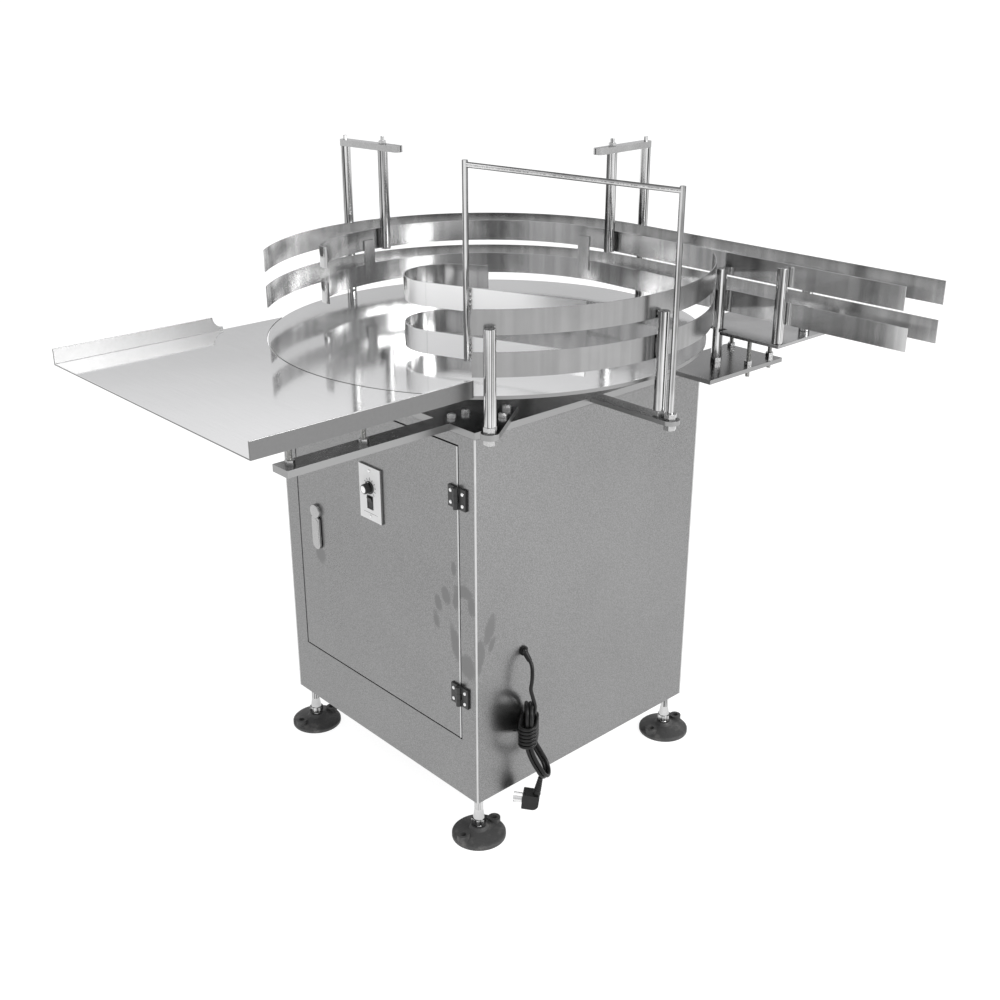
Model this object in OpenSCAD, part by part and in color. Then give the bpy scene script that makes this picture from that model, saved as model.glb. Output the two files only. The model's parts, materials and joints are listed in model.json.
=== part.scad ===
// Rotary accumulation table: a turning disc on a closed cabinet, an infeed tray in front,
// two tiers of guide strip round the disc, and a guided lane that leads out to the right.
// The origin is the centre of the disc's top face. X runs out along the lane, Y from the
// door to the back, Z up.

/* [Turntable] */
// Diameter of the turning disc
disc_d = 800; // [760:10:900]
// Thickness of the disc
disc_t = 6; // [4:1:10]
// Gap between the disc's edge and the plates round it
disc_gap = 2; // [1:0.5:4]
// Height of the disc's underside over the base plate
disc_lift = 57; // [54:1:80]
// Diameter of the hub under the disc
hub_d = 180; // [140:5:240]
// Thickness of the hub's flange
hub_t = 12; // [8:1:14]
// Diameter of the spindle
spindle_d = 40; // [30:1:44]

/* [Cabinet] */
// Width and depth of the cabinet
cabinet_w = 560; // [520:10:580]
// Height of the cabinet
cabinet_h = 696; // [660:1:800]
// Side of the square frame tube
tube_w = 40; // [30:1:42]
// Wall of the frame tube
tube_wall = 2.5; // [1.5:0.5:4]
// Thickness of the cover sheets
sheet_t = 1.5; // [1:0.5:2.5]
// Thickness of the base plate and of the arms welded to it
plate_t = 12; // [8:1:16]

/* [Door] */
// Width of the door
door_w = 474; // [420:2:476]
// Height of the door
door_h = 554; // [480:2:570]
// Distance from the cabinet's top to the door's top edge
door_drop = 22; // [18:1:40]
// Gap round the door
door_gap = 2.5; // [1.5:0.5:4]
// Depth of the door's folded edge
door_fold = 20; // [12:1:30]
// Height of a hinge
hinge_h = 38; // [30:1:60]
// Width of one hinge leaf
hinge_leaf_w = 22; // [18:1:30]
// Distance from the door's end to the middle of a hinge
hinge_inset = 89; // [60:1:120]
// Distance from the door's free edge to the latch
latch_inset = 58; // [45:1:70]
// Height of the latch over the door's middle
latch_rise = 32; // [0:1:80]
// Length of the latch lever from its pivot
lever_l = 79; // [60:1:100]
// Width of the latch lever
lever_w = 25; // [20:1:30]

/* [Speed control] */
// Width of the control plate
control_w = 62; // [56:1:80]
// Height of the control plate
control_h = 104; // [96:1:130]
// Thickness of the control plate
control_t = 4; // [3:1:8]
// Distance from the door's top edge to the plate's middle
control_drop = 154; // [110:1:200]
// Depth of the controller behind the door
controller_depth = 70; // [50:1:100]
// Diameter of the knob's skirt
knob_d = 24; // [18:1:28]
// Height of the knob
knob_h = 15; // [10:1:20]

/* [Feet] */
// Height of the cabinet's underside over the floor
foot_h = 88; // [80:1:110]
// Diameter of a foot pad
pad_d = 100; // [80:1:110]
// Distance between a pad's two bolt holes
pad_hole_pcd = 76; // [60:1:80]
// Diameter of a pad's bolt holes
pad_hole_d = 11; // [8:0.5:13]
// Diameter of the foot's screw
stem_d = 16; // [12:1:18]

/* [Infeed tray] */
// Reach of the tray's front edge from the disc's centre
tray_reach = 689; // [620:1:720]
// Tray's side edge on the lane's side
tray_right = 284; // [260:1:310]
// Tray's side edge on the other side
tray_left = 327; // [290:1:350]
// Thickness of the tray
tray_t = 3; // [2:0.5:4]
// Height of the tray's side lips
lip_h = 26; // [18:1:40]
// Where the far lip ends, in front of the disc's centre
lip_end = 364; // [340:1:400]
// Width of the tray's arms
tray_arm_w = 40; // [30:1:50]
// Reach of the tray's arms from the disc's centre
tray_arm_reach = 590; // [540:1:600]
// Distance from the tray's side edge to the middle of its arm
tray_arm_inset = 86; // [60:1:110]

/* [Guides] */
// Height of a guide strip
strip_h = 40; // [30:1:46]
// Thickness of a guide strip
strip_t = 2; // [1.5:0.5:3]
// Height of the lower tier over the disc
tier_low = 33; // [20:1:45]
// Distance from the lower tier to the upper tier
tier_pitch = 67; // [56:1:80]
// Distance from the disc's edge to the guides that stand outside it
guide_out = 8; // [6:1:14]
// Width of the lane between the outer and the inner guide
lane_w = 83; // [60:1:90]
// Reach of the outer guide along the lane
outer_reach = 674; // [620:1:720]
// Reach of the inner guide along the lane
inner_reach = 664; // [600:1:700]
// Height of the deflector's lower strip over the disc
deflector_low = 19; // [12:1:33]
// Radius of the deflector's nose
nose_r = 75; // [60:1:85]
// Length of the deflector's near side
nose_near_l = 286; // [240:1:288]
// Length of the deflector's far side
nose_far_l = 50; // [20:1:80]

/* [Posts and hangers] */
// Diameter of a guide post
post_d = 20; // [16:1:22]
// Height of the guide posts' tops over the disc
post_top = 113; // [90:1:140]
// Height of the tops of the posts at the lane's outlet
exit_post_top = 135; // [100:1:145]
// Diameter of the threaded ends of posts and hangers
spigot_d = 12; // [8:1:12]
// Diameter of the hanger posts and rods
rod_d = 20; // [16:1:22]
// Height of the hanger bars over the disc
hanger_z = 290; // [220:1:320]
// Width of a hanger bar
hanger_bar_w = 22; // [18:1:28]
// Thickness of a hanger bar
hanger_bar_t = 12; // [8:1:14]
// Diameter of the overhead rod
gallows_d = 10; // [8:1:12]
// Height of the overhead rod over the disc, where it holds the deflector
gallows_z = 334; // [220:1:360]
// How far the overhead rod falls to its other end
gallows_fall = 31; // [0:1:60]
// Width of the arms that carry posts
post_arm_w = 30; // [26:1:36]
// Thickness of the arms that carry posts
post_arm_t = 8; // [6:1:12]
// Size of the nuts across their flats
nut_af = 19; // [17:1:20]
// Thickness of the nuts
nut_t = 10; // [7:1:11]

/* [Lane plates] */
// Thickness of the bracket plate
bracket_t = 8; // [6:1:12]
// Reach of the bracket plate along the lane
bracket_reach = 357; // [350:1:375]
// Thickness of the transfer plate
transfer_t = 6; // [4:1:10]
// Reach of the transfer plate along the lane
transfer_reach = 433; // [410:1:460]
// Diameter of the threaded studs under the tray and the transfer plate
stud_d = 8; // [6:1:10]

/* [Drive] */
// Outside diameter of the spindle bearings
bearing_d = 80; // [72:1:86]
// Width of a spindle bearing
bearing_w = 18; // [12:1:20]
// Height of the bearing housing over the base plate
housing_rise = 36; // [32:1:37]
// Depth of the bearing housing under the base plate's top
housing_drop = 74; // [60:1:90]
// Diameter of the shaft coupling
coupling_d = 60; // [50:1:70]
// Length of the shaft coupling
coupling_l = 70; // [60:1:90]
// Side of the square gear head
gear_head_w = 90; // [80:1:100]
// Length of the gear head
gear_head_l = 70; // [50:1:90]
// Diameter of the motor
motor_d = 88; // [70:1:96]
// Length of the motor
motor_l = 130; // [100:1:170]
// Diameter of the gear head's output shaft
output_d = 18; // [14:1:20]

/* [Power cord] */
// Diameter of the cord
cord_d = 7; // [6:0.5:8]
// Height of the cord's outlet over the cabinet's underside
outlet_rise = 274; // [260:1:300]
// Place of the cord's outlet in front of the cabinet's middle
outlet_y = 170; // [150:1:190]

/* [Hidden] */
$fn = 96;

// Clearances
run_gap = 0.05;
seat_gap = 0.2;
part_gap = 0.3;
cut = 1;
seam = 0.2;

// Heights, counted from the disc's top face
disc_under = -disc_t;
plate_top = disc_under - disc_lift;
cabinet_top = plate_top - plate_t;
cabinet_bottom = cabinet_top - cabinet_h;
floor_z = cabinet_bottom - foot_h;

// Cabinet
half_w = cabinet_w / 2;
frame_half = half_w - sheet_t;
corner_c = frame_half - tube_w / 2;
tube_inside = frame_half - tube_w;
foot_plate_t = 8;
header_h = door_drop - door_gap;
front_y = -half_w;

// Door, hinges and latch
door_top = cabinet_top - door_drop;
door_mid = door_top - door_h / 2;
free_gap = door_gap + 2;
hinge_x = door_w / 2 + door_gap / 2;
knuckle_r = 5.2;
hinge_stand = knuckle_r + 0.4;
hinge_y = front_y - hinge_stand;
hinge_pin_d = 5;
leaf_t = 4;
hinge_zs = [door_top - hinge_inset, door_top - door_h + hinge_inset];
latch_x = -door_w / 2 + latch_inset;
latch_z = door_mid + latch_rise;
latch_shaft_d = 12;
lever_stand = 1.5;
lever_t = 4;
cam_t = 4;
cam_w = 20;
cam_y = front_y + sheet_t + tube_w + 1;
cam_l = latch_x + tube_inside + 14;

// Speed control
control_z = door_top - control_drop;
control_y = front_y - control_t;
knob_z = control_z + 12;
knob_shaft_d = 6;
rocker_z = control_z - 17;
rocker_w = 13;
rocker_l = 21;
rocker_tilt = 8;
rocker_in = control_t / 2;
rocker_pin_d = 2.4;
rocker_pin_out = 1.5;

// Turntable and plates round it
disc_r = disc_d / 2;
plate_r = disc_r + disc_gap;
outer_r = disc_r + guide_out;
inner_r = outer_r - lane_w;
tier_high = tier_low + tier_pitch;

// Guides
outer_start_angle = 224;
inner_start_angle = 212;
curl_r = 30;
curl_turn = 80;
front_from_angle = -45.4;
front_to_angle = 48;
nose_c = [77, -159];
near_heading = 20.7;
far_heading = 32;
link_w = 26;
link_t = 3;
link_angles = [184.6, 101];
outer_lower_short = 4;
inner_upper_short = 12;

// Posts, hangers and the overhead rod
post_foot = plate_top + nut_t;
post_ring = outer_r + strip_t + seat_gap + post_d / 2;
hanger_ring = outer_r + strip_t + seat_gap + rod_d / 2;
inner_ring = inner_r - strip_t - seat_gap - rod_d / 2;
lane_post_y = inner_r - strip_t - seat_gap - post_d / 2;
corner_angle = -41.5;
corner_post_at = post_ring * [cos(corner_angle), sin(corner_angle)];
corner_bolts = [[half_w - 32, -181], [half_w - 7, -213]];
corner_heading = atan2(corner_post_at[1] - corner_bolts[0][1], corner_post_at[0] - corner_bolts[0][0]);
corner_arm_t = nut_t;
spigot_out = 12;
stud_out = 14;
stud_nut_af = stud_d + 6;
stud_nut_t = stud_d;
bolt_head_af = stud_d + 5;
bolt_head_t = stud_d - 2;
hanger_pin_d = rod_d * 0.4;
hanger_pin_out = 8;
hanger_nut_af = hanger_pin_d + 5;
hanger_nut_t = hanger_pin_d - 2;
hanger_over = 40;
hanger_skew = 1.8;
hanger_in = inner_ring * [cos(hanger_skew), -sin(hanger_skew)];
hanger_span = norm(hanger_in - [hanger_ring, 0]);
hanger_heading = atan2(hanger_in[1], hanger_in[0] - hanger_ring);
arm_under = plate_top - post_arm_t;
nut_relief_d = nut_af / cos(30) + 2;
arm_over = 16;
gallows_at = [post_ring + post_d / 2 + 14, 0];
gallows_bar_d = gallows_d - 1;
gallows_over = gallows_d * 0.7;
deflector_hold = 78;
drop_at = nose_c + deflector_hold * [cos(near_heading), sin(near_heading)]
    + (nose_r + seat_gap + gallows_d / 2) * [sin(near_heading), -cos(near_heading)];
gallows_span = norm(drop_at - gallows_at);
gallows_heading = atan2(drop_at[1] - gallows_at[1], drop_at[0] - gallows_at[0]);

// Plates of the lane
bracket_from = 212;
bracket_back = outer_r + 18;
bracket_left = half_w - 55;
transfer_front = lane_post_y - post_d / 2 - 3;
transfer_back = outer_r + 43;
transfer_left = bracket_left;
lane_post_at = [half_w + 9, lane_post_y];
transfer_notch = lane_post_at[0] + post_d / 2 + 4;
stud_y = outer_r + 9;
transfer_studs_at = [
    [bracket_reach - 15, inner_r + 16], [bracket_reach - 23, stud_y],
    [half_w - 36, stud_y], [half_w - 12, inner_r + 21]
];
exit_post_x = transfer_reach - post_d / 2 - 2;
exit_posts_at = [[exit_post_x, lane_post_y], [exit_post_x - 18, post_ring]];

// Tray
arm_xs = [tray_right - tray_arm_inset, -tray_left + tray_arm_inset];
tray_stud_inset = 18;
tray_stud_pitch = 136;
tray_stud_ys = [tray_stud_inset - tray_arm_reach, tray_stud_inset + tray_stud_pitch - tray_arm_reach];
lip_sweep = 20;

// Drive
housing_d = bearing_d + 20;
housing_flange_w = 35;
housing_flange_d = housing_d + 2 * housing_flange_w;
housing_flange_t = 12;
housing_top = plate_top + housing_rise;
housing_bottom = plate_top - housing_drop;
bearing_lip = 2;
coupling_top = housing_bottom - 12;
coupling_bottom = coupling_top - coupling_l;
coupling_bore_d = 28;
bracket_z = coupling_bottom - 18;
drive_plate_t = 8;
drive_plate_w = 130;
standoff_d = 16;
standoff_c = 55;
housing_bolt_ring = housing_d / 2 + housing_flange_w / 2;
terminal_w = 48;
terminal_l = 56;
terminal_t = 22;

// Power cord
cord_sides = 10;
gland_z = cabinet_bottom + outlet_rise;
gland_tilt = 45;
gland_flange_d = 18;
gland_neck_d = gland_flange_d - 5;
gland_flange_t = 3;
gland_l = 20;
gland_x = half_w + gland_flange_t;
cord_exit = [gland_x + gland_l * cos(gland_tilt), -outlet_y, gland_z - gland_l * sin(gland_tilt)];
// Cord route from the end of the gland to the top of the hank, counted from the gland's end
cord_steps = [
    [0, 0, 0], [3, 0, -3], [7, -1, -9], [10, -3, -16], [12, -5, -25], [13, -7, -36], [13, -9, -50],
    [12, -11, -64], [11, -12, -76]
];
// The hank hangs straight down to its tie and leans below it; its places are counted from
// its top, X along its width, Y along its thickness
hank_top = cord_exit + cord_steps[len(cord_steps) - 1];
hank_turn = -50;
hank_w = 50;
hank_t = 28;
hank_drop = 90;
hank_lean = 28;
hank_lean_l = 72;
hank_bend = [0, -hank_drop];
hank_end = hank_bend + hank_lean_l * [sin(hank_lean), -cos(hank_lean)];
plug_w = 31;
plug_h = 30;
plug_t = 26;
plug_round = 12;
plug_tilt = 5;
plug_at = [0, 5.5, -205];
plug_neck_from = [0, 23, -156];
plug_neck_to = [0, 16, -192];
blade_w = 6.4;
blade_t = 1.6;
blade_l = 17;

// Small shapes used by many pieces

module block(low, high) {
    translate(low) cube(high - low);
}

module hex_nut(flats, h, bore) {
    difference() {
        cylinder(d = flats / cos(30), h = h, $fn = 6);
        translate([0, 0, -cut]) cylinder(d = bore, h = h + 2 * cut);
    }
}

module at_corners(c) {
    for (x = [-1, 1], y = [-1, 1]) translate([x * c, y * c, 0]) children();
}

// Flat bar along X from x = 0 to x = l, with its far end rounded
module round_bar(l, w, t) {
    translate([0, -w / 2, 0]) cube([l - w / 2, w, t]);
    translate([l - w / 2, 0, 0]) cylinder(d = w, h = t);
}

module rise(x, y, d, low, high) {
    translate([x, y, low]) cylinder(d = d, h = high - low);
}

// Strip bent round the Z axis: r is its inside face
module bent_strip(r, from, to) {
    rotate([0, 0, from])
        rotate_extrude(angle = to - from)
            translate([r, 0]) square([strip_t, strip_h]);
}

// Weld between two lengths of strip, which end just inside it
module weld_bead(x, y) {
    translate([x, y, -part_gap]) cylinder(d = strip_t + 2 * part_gap, h = strip_h + 2 * part_gap);
}

function arc_angle(l, r) = l / r * 180 / PI;

// Stands a shape on the XZ plane through y, so that its Z points out of the door
module along_y(y, x, z) {
    translate([x, y, z]) rotate([90, 0, 0]) children();
}

// Cabinet

module corner_posts() {
    color("silver")
        at_corners(corner_c)
            translate([0, 0, cabinet_bottom])
                difference() {
                    block([-tube_w / 2, -tube_w / 2, 0], [tube_w / 2, tube_w / 2, cabinet_h]);
                    block([tube_wall - tube_w / 2, tube_wall - tube_w / 2, foot_plate_t],
                        [tube_w / 2 - tube_wall, tube_w / 2 - tube_wall, cabinet_h + cut]);
                    translate([0, 0, -cut]) cylinder(d = stem_d + 2 * run_gap, h = foot_plate_t + 2 * cut);
                }
}

// Square tube along X between the corner posts, h high and tube_w deep
module rail(h) {
    difference() {
        block([-tube_inside, -tube_w / 2, 0], [tube_inside, tube_w / 2, h]);
        block([-tube_inside - cut, tube_wall - tube_w / 2, tube_wall],
            [tube_inside + cut, tube_w / 2 - tube_wall, h - tube_wall]);
    }
}

module frame_rails() {
    color("silver") {
        translate([0, -corner_c, cabinet_top - header_h]) rail(header_h);
        translate([0, corner_c, cabinet_top - tube_w]) rail(tube_w);
        for (side = [-1, 1])
            translate([side * corner_c, 0, cabinet_top - tube_w]) rotate([0, 0, 90]) rail(tube_w);
        for (turn = [0 : 90 : 270])
            rotate([0, 0, turn]) translate([0, corner_c, cabinet_bottom]) rail(tube_w);
    }
}

module front_panel() {
    color("darkgray")
        difference() {
            block([-frame_half, front_y, cabinet_bottom], [frame_half, front_y + sheet_t, cabinet_top]);
            block([-door_w / 2 - free_gap, front_y - cut, door_top - door_h - door_gap],
                [door_w / 2 + door_gap, front_y + sheet_t + cut, door_top + door_gap]);
        }
}

module left_panel() {
    color("darkgray")
        block([-half_w, -half_w, cabinet_bottom], [-frame_half, half_w, cabinet_top]);
}

module right_panel() {
    color("darkgray")
        difference() {
            block([frame_half, -half_w, cabinet_bottom], [half_w, half_w, cabinet_top]);
            translate([frame_half - cut, -outlet_y, gland_z])
                rotate([0, 90, 0])
                    cylinder(d = gland_neck_d, h = sheet_t + 2 * cut);
        }
}

module back_panel() {
    color("darkgray")
        block([-frame_half, frame_half, cabinet_bottom], [frame_half, half_w, cabinet_top]);
}

module floor_panel() {
    low = cabinet_bottom + tube_w;
    notch = tube_w + part_gap;
    color("gray")
        difference() {
            block([-frame_half, -frame_half, low], [frame_half, frame_half, low + sheet_t]);
            at_corners(frame_half - notch / 2)
                block([-notch / 2 - cut, -notch / 2 - cut, low - cut],
                    [notch / 2 + cut, notch / 2 + cut, low + sheet_t + cut]);
        }
}

// Base plate, drive and bearings

module base_plate() {
    color("dimgray")
        difference() {
            block([-half_w, -half_w, cabinet_top], [half_w, half_w, plate_top]);
            rise(0, 0, housing_d + 2 * run_gap, cabinet_top - cut, plate_top + cut);
            for (p = bolt_places())
                rise(p[0], p[1], stud_d + 2 * run_gap, cabinet_top - cut, plate_top + cut);
            rise(corner_post_at[0], corner_post_at[1], nut_relief_d, cabinet_top - cut, plate_top + cut);
        }
}

// Bolts that come up through the base plate: by the tray's arm, on the corner arm
// and round the bearing housing
function housing_bolts() = [for (a = [0 : 90 : 270]) housing_bolt_ring * [cos(a), sin(a)]];
function tray_bolts() = [for (step = [22, 53]) [arm_xs[0], front_y + step]];
function bolt_places() = concat(tray_bolts(), corner_bolts, housing_bolts());

// Bolt screwed into the base plate, with its hexagon head at height z
module plate_bolt(p, z) {
    rise(p[0], p[1], stud_d, cabinet_top, z + bolt_head_t + 1);
    translate([p[0], p[1], z]) cylinder(d = bolt_head_af / cos(30), h = bolt_head_t, $fn = 6);
}

module base_bolts() {
    color("gainsboro") {
        for (p = tray_bolts()) plate_bolt(p, plate_top);
        for (p = corner_bolts) plate_bolt(p, plate_top + corner_arm_t);
        for (p = housing_bolts()) plate_bolt(p, plate_top + housing_flange_t);
    }
}

module bearing_housing() {
    seat = bearing_d / 2;
    throat = seat - 4;
    color("slategray")
        difference() {
            union() {
                rise(0, 0, housing_d, housing_bottom, housing_top);
                rise(0, 0, housing_flange_d, plate_top, plate_top + housing_flange_t);
            }
            rise(0, 0, 2 * throat, housing_bottom - cut, housing_top + cut);
            rise(0, 0, 2 * seat, housing_top - bearing_lip - bearing_w, housing_top + cut);
            rise(0, 0, 2 * seat, housing_bottom - cut, housing_bottom + bearing_lip + bearing_w);
            for (p = housing_bolts())
                rise(p[0], p[1], stud_d + 2 * run_gap, plate_top - cut, plate_top + housing_flange_t + cut);
        }
}

module bearing_ring(z) {
    groove = bearing_w / 2;
    bore_r = spindle_d / 2 + run_gap;
    mid = (bore_r + bearing_d / 2) / 2;
    difference() {
        rise(0, 0, bearing_d, z, z + bearing_w);
        rise(0, 0, 2 * bore_r, z - cut, z + bearing_w + cut);
        for (face = [z - cut, z + bearing_w - cut])
            difference() {
                rise(0, 0, 2 * mid + groove, face, face + 2 * cut);
                rise(0, 0, 2 * mid - groove, face - cut, face + 3 * cut);
            }
    }
}

module spindle_bearings() {
    color("lightsteelblue") {
        bearing_ring(housing_top - bearing_lip - bearing_w);
        bearing_ring(housing_bottom + bearing_lip);
    }
}

module motor_bracket() {
    half = drive_plate_w / 2;
    color("gray")
        difference() {
            union() {
                block([-half, -half, bracket_z - drive_plate_t], [half, half, bracket_z]);
                at_corners(standoff_c) rise(0, 0, standoff_d, bracket_z, cabinet_top);
            }
            rise(0, 0, output_d + 20, bracket_z - drive_plate_t - cut, bracket_z + cut);
        }
}

module gear_head() {
    top = bracket_z - drive_plate_t;
    half = gear_head_w / 2;
    color("lightgray")
        difference() {
            union() {
                intersection() {
                    block([-half, -half, top - gear_head_l], [half, half, top]);
                    rise(0, 0, gear_head_w * 1.28, top - gear_head_l, top);
                }
                rise(0, 0, output_d + 18, top, top + 5);
            }
            rise(0, 0, output_d + 2 * run_gap, top - gear_head_l * 0.6, top + 5 + cut);
        }
}

module drive_motor() {
    top = bracket_z - drive_plate_t - gear_head_l;
    fins = 9;
    fin_pitch = (motor_l - 40) / fins;
    color("dimgray") {
        rise(0, 0, motor_d - 6, top - motor_l, top);
        rise(0, 0, motor_d, top - 12, top);
        for (i = [0 : fins - 1])
            rise(0, 0, motor_d, top - 18 - (i + 0.55) * fin_pitch, top - 18 - i * fin_pitch);
        rise(0, 0, motor_d, top - motor_l, top - motor_l + 20);
        block([-terminal_w / 2, motor_d / 2 - 6, top - 14 - terminal_l],
            [terminal_w / 2, motor_d / 2 + terminal_t, top - 14]);
    }
}

// Feet

pad_t = 22;
ball_r = 9;
ball_seat = 8;
collar_low = 26;
collar_h = 12;
collar_af = 24;
cone_h = 20;

module foot_stems() {
    color("gainsboro")
        at_corners(corner_c)
            translate([0, 0, floor_z]) {
                translate([0, 0, ball_seat + seat_gap + ball_r]) sphere(r = ball_r);
                rise(0, 0, ball_r * 1.4, ball_seat + ball_r, collar_low);
                translate([0, 0, collar_low]) cylinder(d = collar_af / cos(30), h = collar_h, $fn = 6);
                translate([0, 0, collar_low + collar_h])
                    cylinder(d1 = collar_af - 2, d2 = stem_d, h = cone_h);
                rise(0, 0, stem_d, collar_low + collar_h + cone_h, foot_h + 60);
            }
}

module foot_nuts() {
    color("gainsboro")
        at_corners(corner_c)
            translate([0, 0, cabinet_bottom - 8]) hex_nut(collar_af, 8, stem_d + 2 * run_gap);
}

module foot_pads() {
    rim = pad_d / 2;
    neck = ball_r + 5;
    lug_r = pad_hole_d / 2 + 6;
    lug_h = 19;
    color("#2b2b2b")
        at_corners(corner_c)
            translate([0, 0, floor_z])
                difference() {
                    union() {
                        rotate_extrude()
                            polygon([[0, 0], [rim, 0], [rim, 6], [rim - 3, 9], [neck + 4, 16],
                                [neck, pad_t], [0, pad_t]]);
                        for (side = [-1, 1])
                            translate([0, side * pad_hole_pcd / 2, 0]) cylinder(r = lug_r, h = lug_h);
                    }
                    translate([0, 0, ball_seat]) cylinder(r = ball_r + part_gap, h = pad_t);
                    for (side = [-1, 1])
                        translate([0, side * pad_hole_pcd / 2, -cut]) cylinder(d = pad_hole_d, h = pad_t);
                }
}

// Infeed tray and its arms

module tray() {
    color("whitesmoke")
        difference() {
            union() {
                block([-tray_left, -tray_reach, -tray_t], [tray_right, -disc_r / 2, 0]);
                block([tray_right - tray_t, -tray_reach, -tray_t], [tray_right, -disc_r / 2, lip_h]);
                block([-tray_left, -tray_reach, -tray_t], [tray_t - tray_left, -lip_end, lip_h]);
            }
            rise(0, 0, 2 * plate_r, -tray_t - cut, lip_h + cut);
            translate([-tray_left - cut, -lip_end, lip_h])
                rotate([0, 90, 0])
                    cylinder(r = lip_sweep, h = tray_t + 2 * cut);
        }
}

module tray_arms() {
    color("gray")
        for (x = arm_xs)
            difference() {
                block([x - tray_arm_w / 2, -tray_arm_reach, cabinet_top],
                    [x + tray_arm_w / 2, front_y, plate_top]);
                for (y = tray_stud_ys) rise(x, y, stud_d + 2 * run_gap, cabinet_top - cut, plate_top + cut);
            }
}

module tray_studs() {
    color("gainsboro")
        for (x = arm_xs, y = tray_stud_ys) rise(x, y, stud_d, cabinet_top, -tray_t);
}

// Arms and plates that carry the posts

module corner_arm() {
    start = post_arm_w / 2;
    reach = norm(corner_post_at - corner_bolts[0]) + 2 * start;
    color("gray")
        translate([0, 0, plate_top])
            difference() {
                translate(corner_bolts[0])
                    rotate([0, 0, corner_heading]) {
                        translate([-start, 0, 0]) round_bar(reach, post_arm_w, corner_arm_t);
                    }
                for (p = corner_bolts) rise(p[0], p[1], stud_d + 2 * run_gap, -cut, corner_arm_t + cut);
                rise(corner_post_at[0], corner_post_at[1], spigot_d + 2 * run_gap, -cut, corner_arm_t + cut);
            }
}

// One arm along X that starts at the base plate's edge; holes are the distances from the disc's axis
module post_arm(reach, holes) {
    difference() {
        translate([half_w, 0, arm_under]) round_bar(reach - half_w, post_arm_w, post_arm_t);
        for (h = holes) rise(h[0], 0, h[1] + 2 * run_gap, arm_under - cut, plate_top + cut);
    }
}

module post_arms() {
    color("gray") {
        post_arm(gallows_at[0] + arm_over, [[post_ring, spigot_d], [gallows_at[0], gallows_d]]);
        at_hangers() post_arm(hanger_ring + arm_over, [[hanger_ring, spigot_d]]);
    }
}

module bracket_plate() {
    low = plate_top - bracket_t;
    color("gray")
        difference() {
            union() {
                block([half_w, bracket_from, low], [bracket_reach, bracket_back, plate_top]);
                block([bracket_left, half_w, low], [half_w, bracket_back, plate_top]);
            }
            for (p = transfer_studs_at) rise(p[0], p[1], stud_d + 2 * run_gap, low - cut, plate_top + cut);
            rise(lane_post_at[0], lane_post_at[1], spigot_d + 2 * run_gap, low - cut, plate_top + cut);
        }
}

module transfer_plate() {
    color("whitesmoke")
        difference() {
            union() {
                block([transfer_left, lane_post_y + post_d / 2, -transfer_t],
                    [transfer_reach, transfer_back, 0]);
                block([transfer_notch, transfer_front, -transfer_t], [transfer_reach, transfer_back, 0]);
            }
            rise(0, 0, 2 * plate_r, -transfer_t - cut, cut);
            for (p = exit_posts_at) rise(p[0], p[1], spigot_d + 2 * run_gap, -transfer_t - cut, cut);
        }
}

module transfer_studs() {
    color("gainsboro")
        for (p = transfer_studs_at)
            rise(p[0], p[1], stud_d, plate_top - bracket_t - stud_out, -transfer_t);
}

// Guide post from its foot to its top, with a threaded end that reaches down to height end
module guide_post(p, end, foot, top) {
    rise(p[0], p[1], post_d, foot, top);
    rise(p[0], p[1], spigot_d, end, foot);
}

module front_posts() {
    color("lightgray") {
        guide_post(corner_post_at, plate_top - spigot_out, post_foot + corner_arm_t, post_top);
        guide_post([post_ring, 0], arm_under, post_foot, post_top);
    }
}

module lane_post() {
    color("lightgray") guide_post(lane_post_at, plate_top - bracket_t - spigot_out, post_foot, post_top);
}

module exit_posts() {
    color("lightgray") for (p = exit_posts_at) guide_post(p, -transfer_t, 0, exit_post_top);
}

// Hangers over the lane, one at the left and one at the back

module at_hangers() {
    for (turn = [90, 180]) rotate([0, 0, turn]) children();
}

module hanger_posts() {
    color("lightgray")
        at_hangers()
            translate([hanger_ring, 0, 0]) {
                rise(0, 0, rod_d, post_foot, hanger_z);
                rise(0, 0, spigot_d, arm_under - spigot_out, post_foot);
                rise(0, 0, hanger_pin_d, hanger_z, hanger_z + hanger_bar_t + hanger_pin_out);
            }
}

// Bar from the top of a hanger's post to its rod and past it, with a slot in its free end
module hanger_bars() {
    reach = hanger_span + hanger_over;
    color("lightgray")
        at_hangers()
            translate([hanger_ring, 0, hanger_z])
                rotate([0, 0, hanger_heading])
                    difference() {
                        union() {
                            block([0, -hanger_bar_w / 2, 0], [reach, hanger_bar_w / 2, hanger_bar_t]);
                            for (x = [0, reach]) rise(x, 0, hanger_bar_w, 0, hanger_bar_t);
                        }
                        for (x = [0, hanger_span])
                            rise(x, 0, hanger_pin_d + 2 * run_gap, -cut, hanger_bar_t + cut);
                        block([hanger_span + hanger_pin_d, -1, -cut],
                            [reach + hanger_bar_w, 1, hanger_bar_t + cut]);
                    }
}

module hanger_rods() {
    color("lightgray")
        at_hangers()
            translate(hanger_in) {
                rise(0, 0, rod_d, tier_high, hanger_z);
                rise(0, 0, hanger_pin_d, hanger_z, hanger_z + hanger_bar_t + hanger_nut_t + hanger_pin_out);
            }
}

// Overhead rod: an upright on the arm, a sloping bar, and a drop that holds the deflector
module gallows_rod() {
    low = gallows_z - gallows_fall;
    color("lightgray")
        translate(gallows_at)
            rotate([0, 0, gallows_heading]) {
                rise(0, 0, gallows_d, arm_under - spigot_out, low + gallows_over);
                translate([0, 0, low])
                    rotate([0, 90 - atan2(gallows_fall, gallows_span), 0])
                        cylinder(d = gallows_bar_d, h = norm([gallows_span, gallows_fall]));
                rise(gallows_span, 0, gallows_d, deflector_low, gallows_z + gallows_over);
            }
}

// Nuts on studs and threaded ends, above and below what they clamp

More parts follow.
